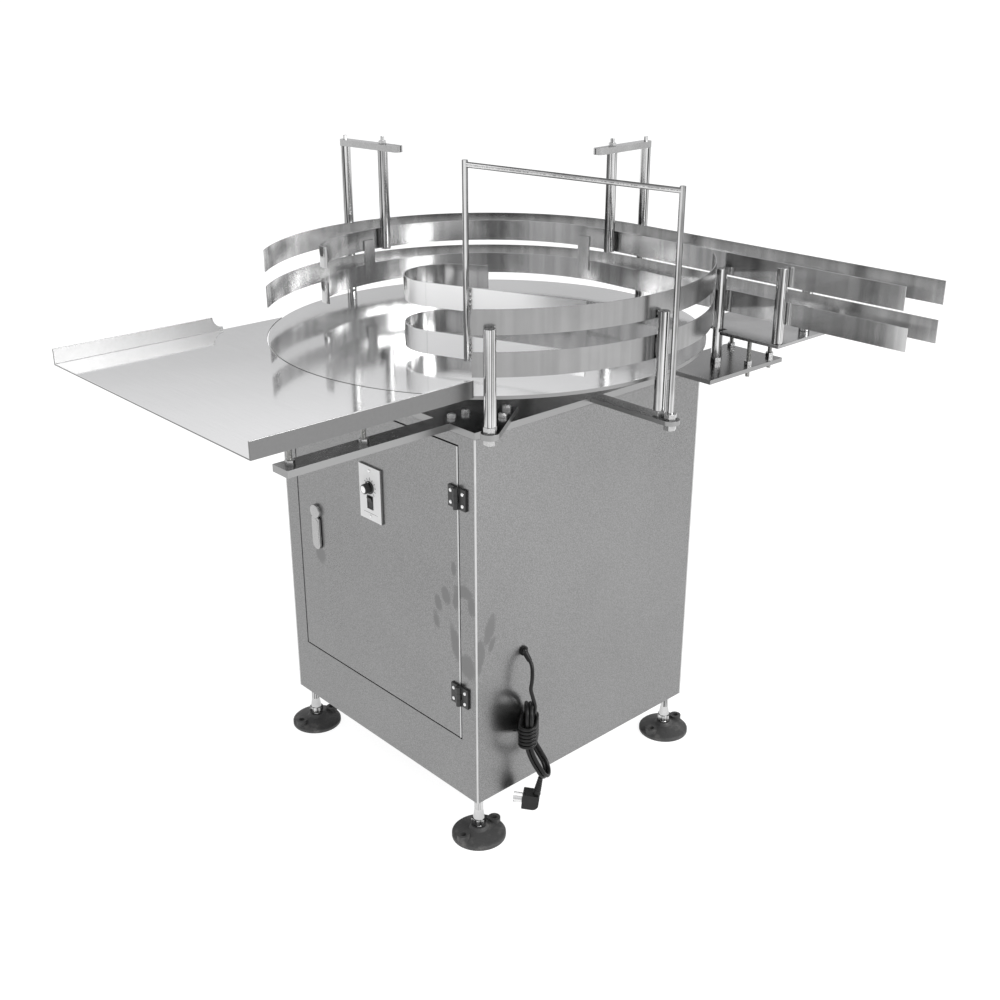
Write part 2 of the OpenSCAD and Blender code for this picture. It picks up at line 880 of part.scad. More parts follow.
module nut_at(p, z, d) {
    translate([p[0], p[1], z]) hex_nut(nut_af, nut_t, d + 2 * run_gap);
}

module stud_nut_at(p, z) {
    translate([p[0], p[1], z]) hex_nut(stud_nut_af, stud_nut_t, stud_d + 2 * run_gap);
}

module support_nuts() {
    color("gainsboro") {
        for (x = arm_xs, y = tray_stud_ys, z = [plate_top, -tray_t - stud_nut_t]) stud_nut_at([x, y], z);
        for (p = transfer_studs_at, z = [plate_top, -transfer_t - stud_nut_t]) stud_nut_at(p, z);
        nut_at([post_ring, 0], plate_top, spigot_d);
        for (z = [plate_top, arm_under - nut_t]) nut_at(gallows_at, z, gallows_d);
        at_hangers() for (z = [plate_top, arm_under - nut_t]) nut_at([hanger_ring, 0], z, spigot_d);
        at_hangers()
            translate([hanger_in[0], hanger_in[1], hanger_z + hanger_bar_t])
                hex_nut(hanger_nut_af, hanger_nut_t, hanger_pin_d + 2 * run_gap);
        for (z = [plate_top, plate_top - bracket_t - nut_t]) nut_at(lane_post_at, z, spigot_d);
        for (z = [plate_top + corner_arm_t, plate_top - nut_t]) nut_at(corner_post_at, z, spigot_d);
    }
}

// Guides: each is a strip on edge, in two tiers

module outer_guide(reach) {
    bent_strip(outer_r, 90, outer_start_angle);
    translate([0, outer_r, 0]) cube([reach, strip_t, strip_h]);
}

module inner_guide(reach) {
    face = inner_r - strip_t;
    bent_strip(face, 90, inner_start_angle - arc_angle(seam, inner_r));
    translate([0, face, 0]) cube([reach, strip_t, strip_h]);
    rotate([0, 0, inner_start_angle]) {
        weld_bead(inner_r - strip_t / 2, 0);
        translate([inner_r - curl_r, 0, 0])
            bent_strip(curl_r - strip_t, arc_angle(seam, curl_r), curl_turn);
    }
}

module front_guide() {
    bent_strip(outer_r, front_from_angle, front_to_angle);
}

module deflector() {
    translate(nose_c) {
        rotate([0, 0, near_heading]) {
            weld_bead(0, strip_t / 2 - nose_r);
            translate([seam, -nose_r, 0]) cube([nose_near_l - seam, strip_t, strip_h]);
        }
        rotate([0, 0, far_heading]) {
            weld_bead(0, nose_r - strip_t / 2);
            translate([seam, nose_r - strip_t, 0]) cube([nose_far_l - seam, strip_t, strip_h]);
        }
        bent_strip(nose_r - strip_t, far_heading + 90 + arc_angle(seam, nose_r),
            near_heading + 270 - arc_angle(seam, nose_r));
    }
}

module outer_guide_upper() {
    color("lightgray") translate([0, 0, tier_high]) outer_guide(outer_reach);
}

module outer_guide_lower() {
    color("lightgray") translate([0, 0, tier_low]) outer_guide(outer_reach - outer_lower_short);
}

module inner_guide_upper() {
    color("lightgray") translate([0, 0, tier_high]) inner_guide(inner_reach - inner_upper_short);
}

module inner_guide_lower() {
    color("lightgray") translate([0, 0, tier_low]) inner_guide(inner_reach);
}

module front_guide_upper() {
    color("lightgray") translate([0, 0, tier_high]) front_guide();
}

module front_guide_lower() {
    color("lightgray") translate([0, 0, tier_low]) front_guide();
}

module deflector_upper() {
    color("lightgray") translate([0, 0, tier_high]) deflector();
}

module deflector_lower() {
    color("lightgray") translate([0, 0, deflector_low]) deflector();
}

// Plates that join the inner guide's two tiers
module guide_links() {
    r = inner_r - strip_t - link_t;
    turn = arc_angle(link_w, r);
    low = tier_low + strip_h / 2;
    color("lightgray")
        for (a = link_angles)
            rotate([0, 0, a - turn / 2])
                rotate_extrude(angle = turn)
                    translate([r, low]) square([link_t, tier_pitch]);
}

// Door hinges

// Leaf from the hinge's axis towards +X, with knuckles over the height bands given
module hinge_leaf(bands, bore) {
    difference() {
        union() {
            block([knuckle_r + 0.6, hinge_stand - leaf_t, -hinge_h / 2],
                [hinge_leaf_w, hinge_stand, hinge_h / 2]);
            for (b = bands) {
                rise(0, 0, 2 * knuckle_r, b[0], b[1]);
                block([0, knuckle_r - leaf_t, b[0]], [knuckle_r + 0.6, knuckle_r, b[1]]);
            }
        }
        for (b = bands) rise(0, 0, bore, b[0] - cut, b[1] + cut);
    }
}

knuckle_h = hinge_h / 3;
outer_bands = [[-hinge_h / 2, -knuckle_h / 2], [knuckle_h / 2, hinge_h / 2]];
middle_band = [[part_gap - knuckle_h / 2, knuckle_h / 2 - part_gap]];

module at_hinges() {
    for (z = hinge_zs) translate([hinge_x, hinge_y, z]) children();
}

module hinge_frame_leaves() {
    color("#1c1c1c")
        at_hinges() {
            hinge_leaf(outer_bands, hinge_pin_d - 1);
            rise(0, 0, hinge_pin_d, -hinge_h / 2, hinge_h / 2);
        }
}

module hinge_door_leaves() {
    color("#1c1c1c")
        at_hinges()
            mirror([1, 0, 0]) hinge_leaf(middle_band, hinge_pin_d + 2 * run_gap);
}

// Power cord

module cable_gland() {
    color("#1a1a1a")
        translate([half_w, -outlet_y, gland_z]) {
            rotate([0, 90, 0]) cylinder(d = gland_flange_d, h = gland_flange_t);
            translate([-sheet_t, 0, 0])
                rotate([0, 90, 0]) cylinder(d = gland_neck_d - 2 * run_gap, h = sheet_t + cut);
            translate([gland_flange_t, 0, 0]) {
                sphere(d = cord_d + 6);
                rotate([0, 90 + gland_tilt, 0]) cylinder(d1 = cord_d + 4, d2 = cord_d + 2, h = gland_l);
            }
        }
}

function along(p, i) =
    p[min(i + 1, len(p) - 1)] - p[max(i - 1, 0)];
function unit(v) = v / norm(v);
function ring(p, i, r) =
    let (t = unit(along(p, i)), u = unit(cross(t, [0, 1, 0])), v = cross(t, u))
    [for (k = [0 : cord_sides - 1])
        p[i] + r * (cos(360 * k / cord_sides) * u + sin(360 * k / cord_sides) * v)];

// Round tube swept along points
module swept_tube(p, r) {
    n = len(p);
    points = [for (i = [0 : n - 1]) each ring(p, i, r)];
    walls = [for (i = [0 : n - 2], k = [0 : cord_sides - 1])
        let (a = i * cord_sides, b = a + cord_sides, m = (k + 1) % cord_sides)
        each [[a + k, a + m, b + m], [a + k, b + m, b + k]]];
    first = [for (k = [1 : cord_sides - 2]) [0, k + 1, k]];
    end = (n - 1) * cord_sides;
    last = [for (k = [1 : cord_sides - 2]) [end, end + k, end + k + 1]];
    polyhedron(points, concat(walls, first, last));
}

module cord() {
    color("#161616") swept_tube([for (s = cord_steps) cord_exit + s], cord_d / 2);
}

module at_hank() {
    translate(hank_top) rotate([0, 0, hank_turn]) children();
}

// The hank's flat side: a long loop
module hank_face() {
    low = hank_w / 2 - hank_drop - hank_lean_l;
    translate([0, -hank_w / 2]) circle(d = hank_w);
    translate([-hank_w / 2, low]) square([hank_w, -hank_w / 2 - low]);
    translate([0, low]) circle(d = hank_w);
}

// The hank's edge: a band that bends below the tie
module hank_edge() {
    half = hank_t / 2;
    mitre = half * tan(hank_lean / 2);
    out = half * [cos(hank_lean), sin(hank_lean)];
    polygon([
        [-half, 0], [half, 0], [half, mitre - hank_drop], hank_end + out, hank_end - out,
        [-half, -mitre - hank_drop]
    ]);
}

module cord_hank() {
    color("#161616")
        at_hank()
            intersection() {
                rotate([90, 0, 0]) linear_extrude(4 * hank_w, center = true) hank_face();
                rotate([90, 0, 90]) linear_extrude(2 * hank_w, center = true) hank_edge();
            }
}

// Side of the plug's moulded body, its back lower corner rounded
module plug_side() {
    translate([-plug_w / 2, plug_round - plug_h / 2]) square([plug_w, plug_h - plug_round]);
    translate([-plug_w / 2, -plug_h / 2]) square([plug_w - plug_round, plug_h]);
    translate([plug_w / 2 - plug_round, plug_round - plug_h / 2]) circle(r = plug_round);
}

module plug() {
    neck = plug_neck_from - plug_neck_to;
    color("#161616")
        at_hank() {
            translate(plug_neck_to)
                rotate([-atan2(neck[1], neck[2]), 0, 0])
                    cylinder(d1 = cord_d + 7, d2 = cord_d + 2, h = norm(neck));
            translate(plug_at)
                rotate([-plug_tilt, 0, 0]) {
                    rotate([90, 0, 90]) linear_extrude(plug_t, center = true) plug_side();
                    for (b = [[-7, 4, 30], [7, 4, -30], [0, -8, 0]])
                        translate([b[0], -plug_w / 2 - blade_l / 2, b[1]])
                            rotate([0, b[2], 0]) cube([blade_t, blade_l + 2 * cut, blade_w], center = true);
                }
        }
}

// Turntable

module disc() {
    color("whitesmoke") rise(0, 0, disc_d, disc_under, 0);
}

module hub() {
    boss_low = housing_top + 3;
    color("lightsteelblue")
        difference() {
            union() {
                rise(0, 0, hub_d, disc_under - hub_t, disc_under);
                rise(0, 0, spindle_d + 26, boss_low, disc_under);
            }
            rise(0, 0, spindle_d, boss_low - cut, disc_under + cut);
        }
}

module spindle() {
    color("lightsteelblue") {
        rise(0, 0, spindle_d, housing_bottom - 6, disc_under);
        rise(0, 0, spindle_d + 10, housing_top - bearing_lip + part_gap, housing_top + 3);
        rise(0, 0, coupling_bore_d, coupling_top - coupling_l * 0.36, housing_bottom - 6);
    }
}

// Two hubs with jaws, and the cross between them
module coupling() {
    hub_l = coupling_l * 0.4;
    jaw_l = coupling_l * 0.2;
    mid = coupling_bottom + hub_l;
    color("silver") {
        difference() {
            rise(0, 0, coupling_d, coupling_top - hub_l, coupling_top);
            rise(0, 0, coupling_bore_d, coupling_top - coupling_l * 0.36, coupling_top + cut);
        }
        difference() {
            rise(0, 0, coupling_d, coupling_bottom, mid);
            rise(0, 0, output_d, coupling_bottom - cut, coupling_bottom + coupling_l * 0.36);
        }
        for (a = [0 : 60 : 300])
            rotate([0, 0, a])
                translate([coupling_d * 0.32, 0, mid]) cylinder(d = coupling_d * 0.24, h = jaw_l);
    }
}

module output_shaft() {
    low = bracket_z - drive_plate_t - gear_head_l * 0.5;
    color("lightsteelblue") rise(0, 0, output_d, low, coupling_bottom + coupling_l * 0.36);
}

// Door, latch and speed control

module door_panel() {
    half = door_w / 2;
    low = door_top - door_h;
    color("darkgray")
        difference() {
            block([-half, front_y, low], [half, front_y + door_fold, door_top]);
            block([sheet_t - half, front_y + sheet_t, low + sheet_t],
                [half - sheet_t, front_y + door_fold + cut, door_top - sheet_t]);
            along_y(front_y + sheet_t + cut, latch_x, latch_z)
                cylinder(d = latch_shaft_d + 2 * run_gap, h = sheet_t + 2 * cut);
            block([10 - control_w / 2, front_y - cut, control_z - control_h / 2 + 14],
                [control_w / 2 - 10, front_y + sheet_t + cut, control_z + control_h / 2 - 14]);
        }
}

module controller() {
    back = front_y + sheet_t + controller_depth;
    color("dimgray")
        block([4 - control_w / 2, front_y + sheet_t, control_z - control_h / 2 + 4],
            [control_w / 2 - 4, back, control_z + control_h / 2 - 4]);
}

module control_plate() {
    slot_w = rocker_w / 2 + part_gap;
    slot_l = rocker_l / 2 + 1;
    color("lightgray")
        difference() {
            block([-control_w / 2, control_y, control_z - control_h / 2],
                [control_w / 2, front_y, control_z + control_h / 2]);
            along_y(front_y + cut, 0, knob_z)
                cylinder(d = knob_shaft_d + 2 * run_gap, h = control_t + 2 * cut);
            block([-slot_w, control_y - cut, rocker_z - slot_l], [slot_w, front_y + cut, rocker_z + slot_l]);
            rocker_axle(rocker_pin_d + 2 * run_gap, rocker_w + 2 * rocker_pin_out + 2 * part_gap);
        }
}

// Round pin that the rocker tips on
module rocker_axle(d, l) {
    translate([-l / 2, control_y + rocker_in, rocker_z]) rotate([0, 90, 0]) cylinder(d = d, h = l);
}

module latch_lever() {
    boss_t = lever_stand + lever_t + 1.5;
    shaft_l = cam_y + cam_t - front_y + boss_t;
    color("silver") {
        along_y(front_y - part_gap, latch_x, latch_z) cylinder(d = lever_w + 3, h = boss_t);
        along_y(front_y - lever_stand, latch_x, latch_z)
            linear_extrude(lever_t) {
                translate([-lever_w / 2, lever_w / 2 - lever_l]) square([lever_w, lever_l - lever_w / 2]);
                translate([0, lever_w / 2 - lever_l]) circle(d = lever_w);
            }
        along_y(cam_y + cam_t, latch_x, latch_z) cylinder(d = latch_shaft_d, h = shaft_l);
    }
}

module latch_cam() {
    color("silver")
        along_y(cam_y + cam_t, latch_x, latch_z)
            difference() {
                union() {
                    cylinder(d = cam_w, h = cam_t);
                    translate([-cam_w / 2, 0, 0]) cube([cam_w, cam_l, cam_t]);
                }
                translate([0, 0, -cut]) cylinder(d = latch_shaft_d, h = cam_t + 2 * cut);
            }
}

module speed_knob() {
    color("#1c1c1c")
        along_y(control_y - part_gap, 0, knob_z) {
            cylinder(d = knob_d, h = 3);
            translate([0, 0, 3]) cylinder(d1 = knob_d - 6, d2 = knob_d - 8, h = knob_h - 3);
            translate([0, 0, 1 - control_t]) cylinder(d = knob_shaft_d, h = control_t - 1);
        }
}

module rocker_switch() {
    half = rocker_l / 2;
    back = rocker_in - 0.6;
    waist = -rocker_in - 0.4;
    tip = waist - 1.8;
    color("#1c1c1c") {
        translate([-rocker_w / 2, control_y + rocker_in, rocker_z])
            rotate([rocker_tilt, 0, 0])
                rotate([90, 0, 90])
                    linear_extrude(rocker_w)
                        polygon([[back, -half], [tip, -half], [waist, 0], [tip, half], [back, half]]);
        rocker_axle(rocker_pin_d, rocker_w + 2 * rocker_pin_out);
    }
}

corner_posts();
frame_rails();
front_panel();
left_panel();
right_panel();
back_panel();
floor_panel();
base_plate();
base_bolts();
bearing_housing();
spindle_bearings();
motor_bracket();
gear_head();
drive_motor();
foot_stems();
foot_nuts();
foot_pads();
tray();
tray_arms();
tray_studs();
corner_arm();
post_arms();
bracket_plate();
transfer_plate();
transfer_studs();
front_posts();
lane_post();
exit_posts();
hanger_posts();
hanger_bars();
hanger_rods();
gallows_rod();
support_nuts();
outer_guide_upper();
outer_guide_lower();
inner_guide_upper();
inner_guide_lower();
front_guide_upper();
front_guide_lower();
deflector_upper();
deflector_lower();
guide_links();
hinge_frame_leaves();
cable_gland();
cord();
cord_hank();
plug();
disc();
hub();
spindle();
coupling();
output_shaft();
door_panel();
hinge_door_leaves();
controller();
control_plate();
latch_lever();
latch_cam();
speed_knob();
rocker_switch();
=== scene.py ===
"""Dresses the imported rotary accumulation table: finishes, small parts, power cord, studio and camera."""

from __future__ import annotations

import json
import logging
import math
from dataclasses import dataclass
from enum import Enum
from typing import Any, Iterable, Sequence, Union

import bmesh
import bpy
from mathutils import Matrix, Vector

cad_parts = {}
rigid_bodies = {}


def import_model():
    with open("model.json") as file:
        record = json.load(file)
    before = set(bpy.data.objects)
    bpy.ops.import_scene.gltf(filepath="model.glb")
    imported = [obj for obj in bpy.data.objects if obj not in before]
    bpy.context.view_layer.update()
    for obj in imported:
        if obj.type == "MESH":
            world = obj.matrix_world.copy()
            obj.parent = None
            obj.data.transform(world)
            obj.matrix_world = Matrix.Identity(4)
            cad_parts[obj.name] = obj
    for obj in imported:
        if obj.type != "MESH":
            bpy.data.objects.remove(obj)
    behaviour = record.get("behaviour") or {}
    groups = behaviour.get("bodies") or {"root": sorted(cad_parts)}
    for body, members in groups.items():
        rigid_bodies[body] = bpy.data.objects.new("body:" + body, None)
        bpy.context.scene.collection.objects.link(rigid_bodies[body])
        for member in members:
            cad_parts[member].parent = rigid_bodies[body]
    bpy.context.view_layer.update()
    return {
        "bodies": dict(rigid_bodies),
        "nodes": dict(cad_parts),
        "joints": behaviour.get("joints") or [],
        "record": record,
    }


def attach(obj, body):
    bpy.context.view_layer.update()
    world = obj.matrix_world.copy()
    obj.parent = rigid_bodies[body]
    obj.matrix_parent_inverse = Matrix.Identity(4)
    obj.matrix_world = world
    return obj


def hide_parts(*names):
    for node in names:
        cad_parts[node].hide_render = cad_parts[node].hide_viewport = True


log = logging.getLogger("rotary_table")

Point = tuple[float, float, float]
Flat = tuple[float, float]
Profile = tuple[Flat, ...]

# Main sizes in metres, as the solids have them
HALF_W = 0.280
FLOOR_Z = -0.859
CABINET_TOP = -0.075
CABINET_BOTTOM = -0.771

# Limits for meshes: points that are one, faces that are one, and edges that are rounded, in radians
SAME_POINT = 2e-6
FLAT_ANGLE = math.radians(0.5)
SHARP_ANGLE = math.radians(35)
RIM_ANGLE = 0.6

# The range that most of a noise lies in
MIDDLE = (0.3, 0.7)


class Body(str, Enum):
    """Bodies that the pieces of this script ride on."""

    STAND = "stand"
    DOOR = "door"
    LATCH = "latch"
    KNOB = "knob"


class Sock:
    """A shader socket that takes part in Python arithmetic."""

    def __init__(self, graph: Graph, socket: bpy.types.NodeSocket) -> None:
        """Keeps the socket and the node tree that owns it."""
        self.graph = graph
        self.socket = socket

    def _math(self, operation: str, first: Value, second: Value = 0.0) -> Sock:
        """Adds one Math node and returns its output."""
        return self.graph.node("ShaderNodeMath", {"operation": operation}, {0: first, 1: second})

    def __add__(self, other: Value) -> Sock:
        """Sum."""
        return self._math("ADD", self, other)

    def __radd__(self, other: Value) -> Sock:
        """Sum with a number on the left."""
        return self._math("ADD", other, self)

    def __sub__(self, other: Value) -> Sock:
        """Difference."""
        return self._math("SUBTRACT", self, other)

    def __rsub__(self, other: Value) -> Sock:
        """Difference with a number on the left."""
        return self._math("SUBTRACT", other, self)

    def __mul__(self, other: Value) -> Sock:
        """Product."""
        return self._math("MULTIPLY", self, other)

    def __rmul__(self, other: Value) -> Sock:
        """Product with a number on the left."""
        return self._math("MULTIPLY", other, self)

    def __truediv__(self, other: Value) -> Sock:
        """Quotient."""
        return self._math("DIVIDE", self, other)

    def __rtruediv__(self, other: Value) -> Sock:
        """Quotient with a number on the left."""
        return self._math("DIVIDE", other, self)

    def __pow__(self, other: Value) -> Sock:
        """Power."""
        return self._math("POWER", self, other)

    def __rpow__(self, other: Value) -> Sock:
        """Power with a number on the left."""
        return self._math("POWER", other, self)

    def __abs__(self) -> Sock:
        """Size without its sign."""
        return self._math("ABSOLUTE", self)

    def at_least(self, other: Value) -> Sock:
        """Greater of two values."""
        return self._math("MAXIMUM", self, other)

    def sine(self) -> Sock:
        """Sine of a value in radians."""
        return self._math("SINE", self)

    def step(self, low: float, high: float) -> Sock:
        """Goes smoothly from 0 to 1.

        Args:
            low: Value where the result is 0.
            high: Value where the result is 1, which may be the smaller one.

        Returns:
            The smoothed value.
        """
        return self.graph.node(
            "ShaderNodeMapRange",
            {"interpolation_type": "SMOOTHSTEP"},
            {"Value": self, "From Min": low, "From Max": high},
        )


Value = Union[Sock, float, Sequence[float]]


class Graph:
    """A node tree, built from expressions."""

    def __init__(self, tree: bpy.types.NodeTree) -> None:
        """Empties the tree.

        Args:
            tree: Node tree of a material or a world.
        """
        self.tree = tree
        tree.nodes.clear()

    def put(self, socket: bpy.types.NodeSocket, value: Value) -> None:
        """Links a socket to a value, or sets its constant.

        Args:
            socket: Input of a node.
            value: What goes into it.
        """
        if isinstance(value, Sock):
            self.tree.links.new(value.socket, socket)
        else:
            socket.default_value = value

    def node(
        self,
        kind: str,
        settings: dict[str, Any] | None = None,
        inputs: dict[int | str, Value] | None = None,
        output: int | str = 0,
    ) -> Sock:
        """Adds any node.

        Args:
            kind: Blender's name of the node's type.
            settings: Properties of the node, set before its sockets. "stops" fills a colour ramp.
            inputs: Values or links by socket name or number.
            output: Name or number of the output to return.

        Returns:
            The chosen output.
        """
        made = self.tree.nodes.new(kind)
        for key, value in (settings or {}).items():
            if key == "stops":
                ramp = made.color_ramp
                while len(ramp.elements) < len(value):
                    ramp.elements.new(0.5)
                for element, (place, tone) in zip(ramp.elements, value):
                    element.position = place
                    element.color = (*tone, 1.0)
            else:
                setattr(made, key, value)
        for key, value in (inputs or {}).items():
            self.put(made.inputs[key], value)
        return Sock(self, made.outputs[output])

    def end(self, kind: str, surface: Sock) -> None:
        """Closes the tree with an output node of a kind."""
        self.put(self.tree.nodes.new(kind).inputs["Surface"], surface)


class Shader(Graph):
    """One material with a Principled shader."""

    def __init__(self, name: str) -> None:
        """Makes the material and its shader.

        Args:
            name: Name of the material.
        """
        self.material = bpy.data.materials.new(name)
        self.material.use_nodes = True
        super().__init__(self.material.node_tree)
        shaded = self.node("ShaderNodeBsdfPrincipled")
        self.bsdf = shaded.socket.node
        self.end("ShaderNodeOutputMaterial", shaded)
        self._place: Sock | None = None

    def surface(self, **values: Value) -> None:
        """Sets sockets of the Principled shader, with _ for a space in their names."""
        for key, value in values.items():
            self.put(self.bsdf.inputs[key.replace("_", " ")], value)

    @property
    def place(self) -> Sock:
        """Place on the object in metres, in the frame of the solids.

        Returns:
            The place, from one node for the whole material.
        """
        if self._place is None:
            self._place = self.node("ShaderNodeTexCoord", output="Object")
        return self._place

    def _split(self, vector: Sock) -> tuple[Sock, Sock, Sock]:
        """X, Y and Z of a vector as three values."""
        outs = self.node("ShaderNodeSeparateXYZ", inputs={0: vector}).socket.node.outputs
        return Sock(self, outs[0]), Sock(self, outs[1]), Sock(self, outs[2])

    def axes(self) -> tuple[Sock, Sock, Sock]:
        """X, Y and Z of the place."""
        return self._split(self.place)

    def facing(self) -> tuple[Sock, Sock, Sock]:
        """X, Y and Z of the surface normal, in the frame of the solids."""
        return self._split(self.node("ShaderNodeTexCoord", output="Normal"))

    def upright(self) -> Sock:
        """Mask that is 1 on upright faces and 0 on level ones."""
        _, _, up = self.facing()
        return abs(up).step(0.7, 0.3)

    def noise(self, stretch: Sequence[float], detail: float = 3.0, rough: float = 0.55, seed: float = 0.0) -> Sock:
        """Noise from 0 to 1.

        Args:
            stretch: Cells per metre along X, Y and Z.
            detail: Number of finer layers.
            rough: Strength of the finer layers.
            seed: Shift that gives another pattern.

        Returns:
            The noise.
        """
        mapped = self.node(
            "ShaderNodeMapping",
            {"vector_type": "POINT"},
            {"Vector": self.place, "Location": (seed, seed * 0.7, seed * 1.3), "Scale": tuple(stretch)},
        )
        return self.node(
            "ShaderNodeTexNoise",
            {"noise_dimensions": "3D"},
            {"Vector": mapped, "Scale": 1.0, "Detail": detail, "Roughness": rough},
        )

    def shade(self, mask: Value, dark: Value, light: Value) -> Sock:
        """Colour between dark and light.

        Args:
            mask: 0 for dark, 1 for light.
            dark: First colour.
            light: Second colour.

        Returns:
            The mixed colour.
        """
        pair = [c if isinstance(c, Sock) else (*c, 1.0) for c in (dark, light)]
        return self.node(
            "ShaderNodeMix", {"data_type": "RGBA", "clamp_factor": True}, {0: mask, 6: pair[0], 7: pair[1]}, output=2
        )

    def bump(self, height: Sock, depth: float) -> None:
        """Feeds a height from 0 to 1, with its depth in metres, through a Bump node to Normal."""
        self.surface(Normal=self.node("ShaderNodeBump", inputs={"Strength": 1.0, "Distance": depth, "Height": height}))


def grey(value: float) -> Point:
    """Grey tone."""
    return (value, value, value)


def scaled(tone: Point, factor: float, extra: float = 0.0) -> Point:
    """Tone times a factor, and a little more of all colours, up to white."""
    red, green, blue = (min(c * factor + extra, 1.0) for c in tone)
    return (red, green, blue)


@dataclass(frozen=True)
class Smudge:
    """A handled spot on a sheet: its centre, its half sizes, and how far it leans for its height."""

    along: float
    height: float
    wide: float
    tall: float
    lean: float = 0.0


@dataclass(frozen=True)
class Finish:
    """Base of all finishes."""

    name: str

    def make(self) -> bpy.types.Material:
        """Builds the material."""
        raise NotImplementedError


@dataclass(frozen=True)
class MetalFinish(Finish):
    """Steel with a grain, slow clouds and a slight waviness; on round parts its strong lines are painted reflection
    streaks, and level faces can take painted shade.
    """

    tone: Point = (0.6, 0.6, 0.6)
    rough: float = 0.25
    spread: float = 0.08
    grain: Point = (900.0, 900.0, 14.0)
    grain_depth: float = 0.00002
    clouds: float = 3.0
    cloud_depth: float = 0.12
    wave: float = 0.0
    wave_cells: Point = (5.0, 5.0, 5.0)
    # Spread of the tone and strength of the lines in it; set high on round parts, where the lines are painted
    # reflection streaks
    contrast: float = 0.14
    grain_and_reflection_streak: float = 0.3
    # Streaks on upright faces only, with painted shade darkening the level faces
    upright_streaks_and_painted_shade: bool = False
    smudges: tuple[Smudge, ...] = ()
    smudge_depth: float = 0.9
    smudge_rough: float = 0.05
    fray: float = 2.4

    def make(self) -> bpy.types.Material:
        """Builds the metal.

        Returns:
            The material.
        """
        shader = Shader(self.name)
        grain = shader.noise(self.grain, detail=2.0)
        clouds = shader.noise((self.clouds,) * 3, detail=5.0, rough=0.6, seed=3.1)
        dust = shader.noise((self.clouds * 14,) * 3, detail=4.0, rough=0.7, seed=8.2)
        worn = clouds.step(*MIDDLE)
        grain_and_reflection_lines = grain.step(*MIDDLE)
        # Streaks stay on upright faces; level faces, such as the tops and undersides of bars, are painted darker as
        # shade
        if self.upright_streaks_and_painted_shade:
            _, _, up = shader.facing()
            level = abs(up)
            grain_and_reflection_lines = 0.7 + (grain_and_reflection_lines - 0.7) * level.step(0.15, 0.05) - level.step(0.5, 0.85) * 0.6
        # The lines and clouds set the tone; on round parts the strong lines are painted reflection streaks
        mask = (grain_and_reflection_lines - 0.5) * self.grain_and_reflection_streak + (worn - 0.5) * self.cloud_depth * 4 + 0.5
        rough = self.rough + (grain - 0.5) * self.spread + (worn - 0.5) * self.spread + (dust - 0.5) * self.spread
        if self.smudges:
            spots = self._spots(shader, dust)
            mask = mask - spots * self.smudge_depth
            rough = rough + spots * self.smudge_rough
        dark = scaled(self.tone, 1.0 - self.contrast)
        light = scaled(self.tone, 1.0 + 0.7 * self.contrast)
        colour, rough = self._edges(shader, shader.shade(mask, dark, light), rough)
        shader.surface(Base_Color=colour, Metallic=1.0, Roughness=rough)
        height = grain
        if self.wave:
            slow = shader.noise(self.wave_cells, detail=1.0, seed=5.7)
            height = grain * (self.grain_depth / self.wave) + slow
        shader.bump(height, self.wave or self.grain_depth)
        return shader.material

    def _edges(self, shader: Shader, colour: Sock, rough: Sock) -> tuple[Sock, Sock]:
        """Changes the finish on some faces; here on none.

        Args:
            shader: The material in the making.
            colour: Colour of the flat faces.
            rough: Roughness of the flat faces.

        Returns:
            Colour and roughness for all faces.
        """
        return colour, rough

    def _spots(self, shader: Shader, dust: Sock) -> Sock:
        """Mask of the handled spots.

        Args:
            shader: The material in the making.
            dust: Noise that frays the spots.

        Returns:
            The mask.
        """
        x, y, z = shader.axes()
        across = x + y
        total: Sock | None = None
        for spot in self.smudges:
            up = z - spot.height
            side = (across - spot.along - up * spot.lean) / spot.wide
            rise = up / spot.tall
            here = (side * side + rise * rise + (dust - 0.5) * self.fray).step(1.3, 0.1)
            total = here if total is None else total.at_least(here)
        right, back, _ = shader.facing()
        return total * (right - back).step(0.3, 0.6)


@dataclass(frozen=True)
class TrayFinish(MetalFinish):
    """Polished plate whose lips are duller, with painted shade: darker tones on the lips, lighter on the far lip than
    the near one, and darkest on the edge by the disc.
    """

    # Tones of painted shade on the upright faces
    near_lip_shade: float = 0.2
    far_lip_shade: float = 0.25
    disc_edge_shade: float = 0.1
    edge_r: Flat = (0.406, 0.403)
    mottle: float = 0.05
    mottle_tone: float = 0.04

    def _edges(self, shader: Shader, colour: Sock, rough: Sock) -> tuple[Sock, Sock]:
        """Gives the upright faces tones of painted shade, with a textured mottle.

        Args:
            shader: The material in the making.
            colour: Colour of the flat faces.
            rough: Roughness of the flat faces.

        Returns:
            Colour and roughness for all faces.
        """
        x, y, _ = shader.axes()
        upright = shader.upright()
        # Painted shade: each lip has its own darker tone, and the edge by the disc is darker still
        lip_shade = shader.shade(x.step(-0.3, -0.2), grey(self.far_lip_shade), grey(self.near_lip_shade))
        inside = ((x * x + y * y) ** 0.5).step(*self.edge_r)
        mottle = shader.noise((160.0, 160.0, 160.0), detail=4.0, rough=0.7, seed=2.6).step(0.35, 0.65)
        plain = shader.shade(inside, lip_shade, grey(self.disc_edge_shade))
        tone = shader.shade(mottle * self.mottle, plain, grey(self.mottle_tone))
        return shader.shade(upright, colour, tone), rough + upright * 0.25


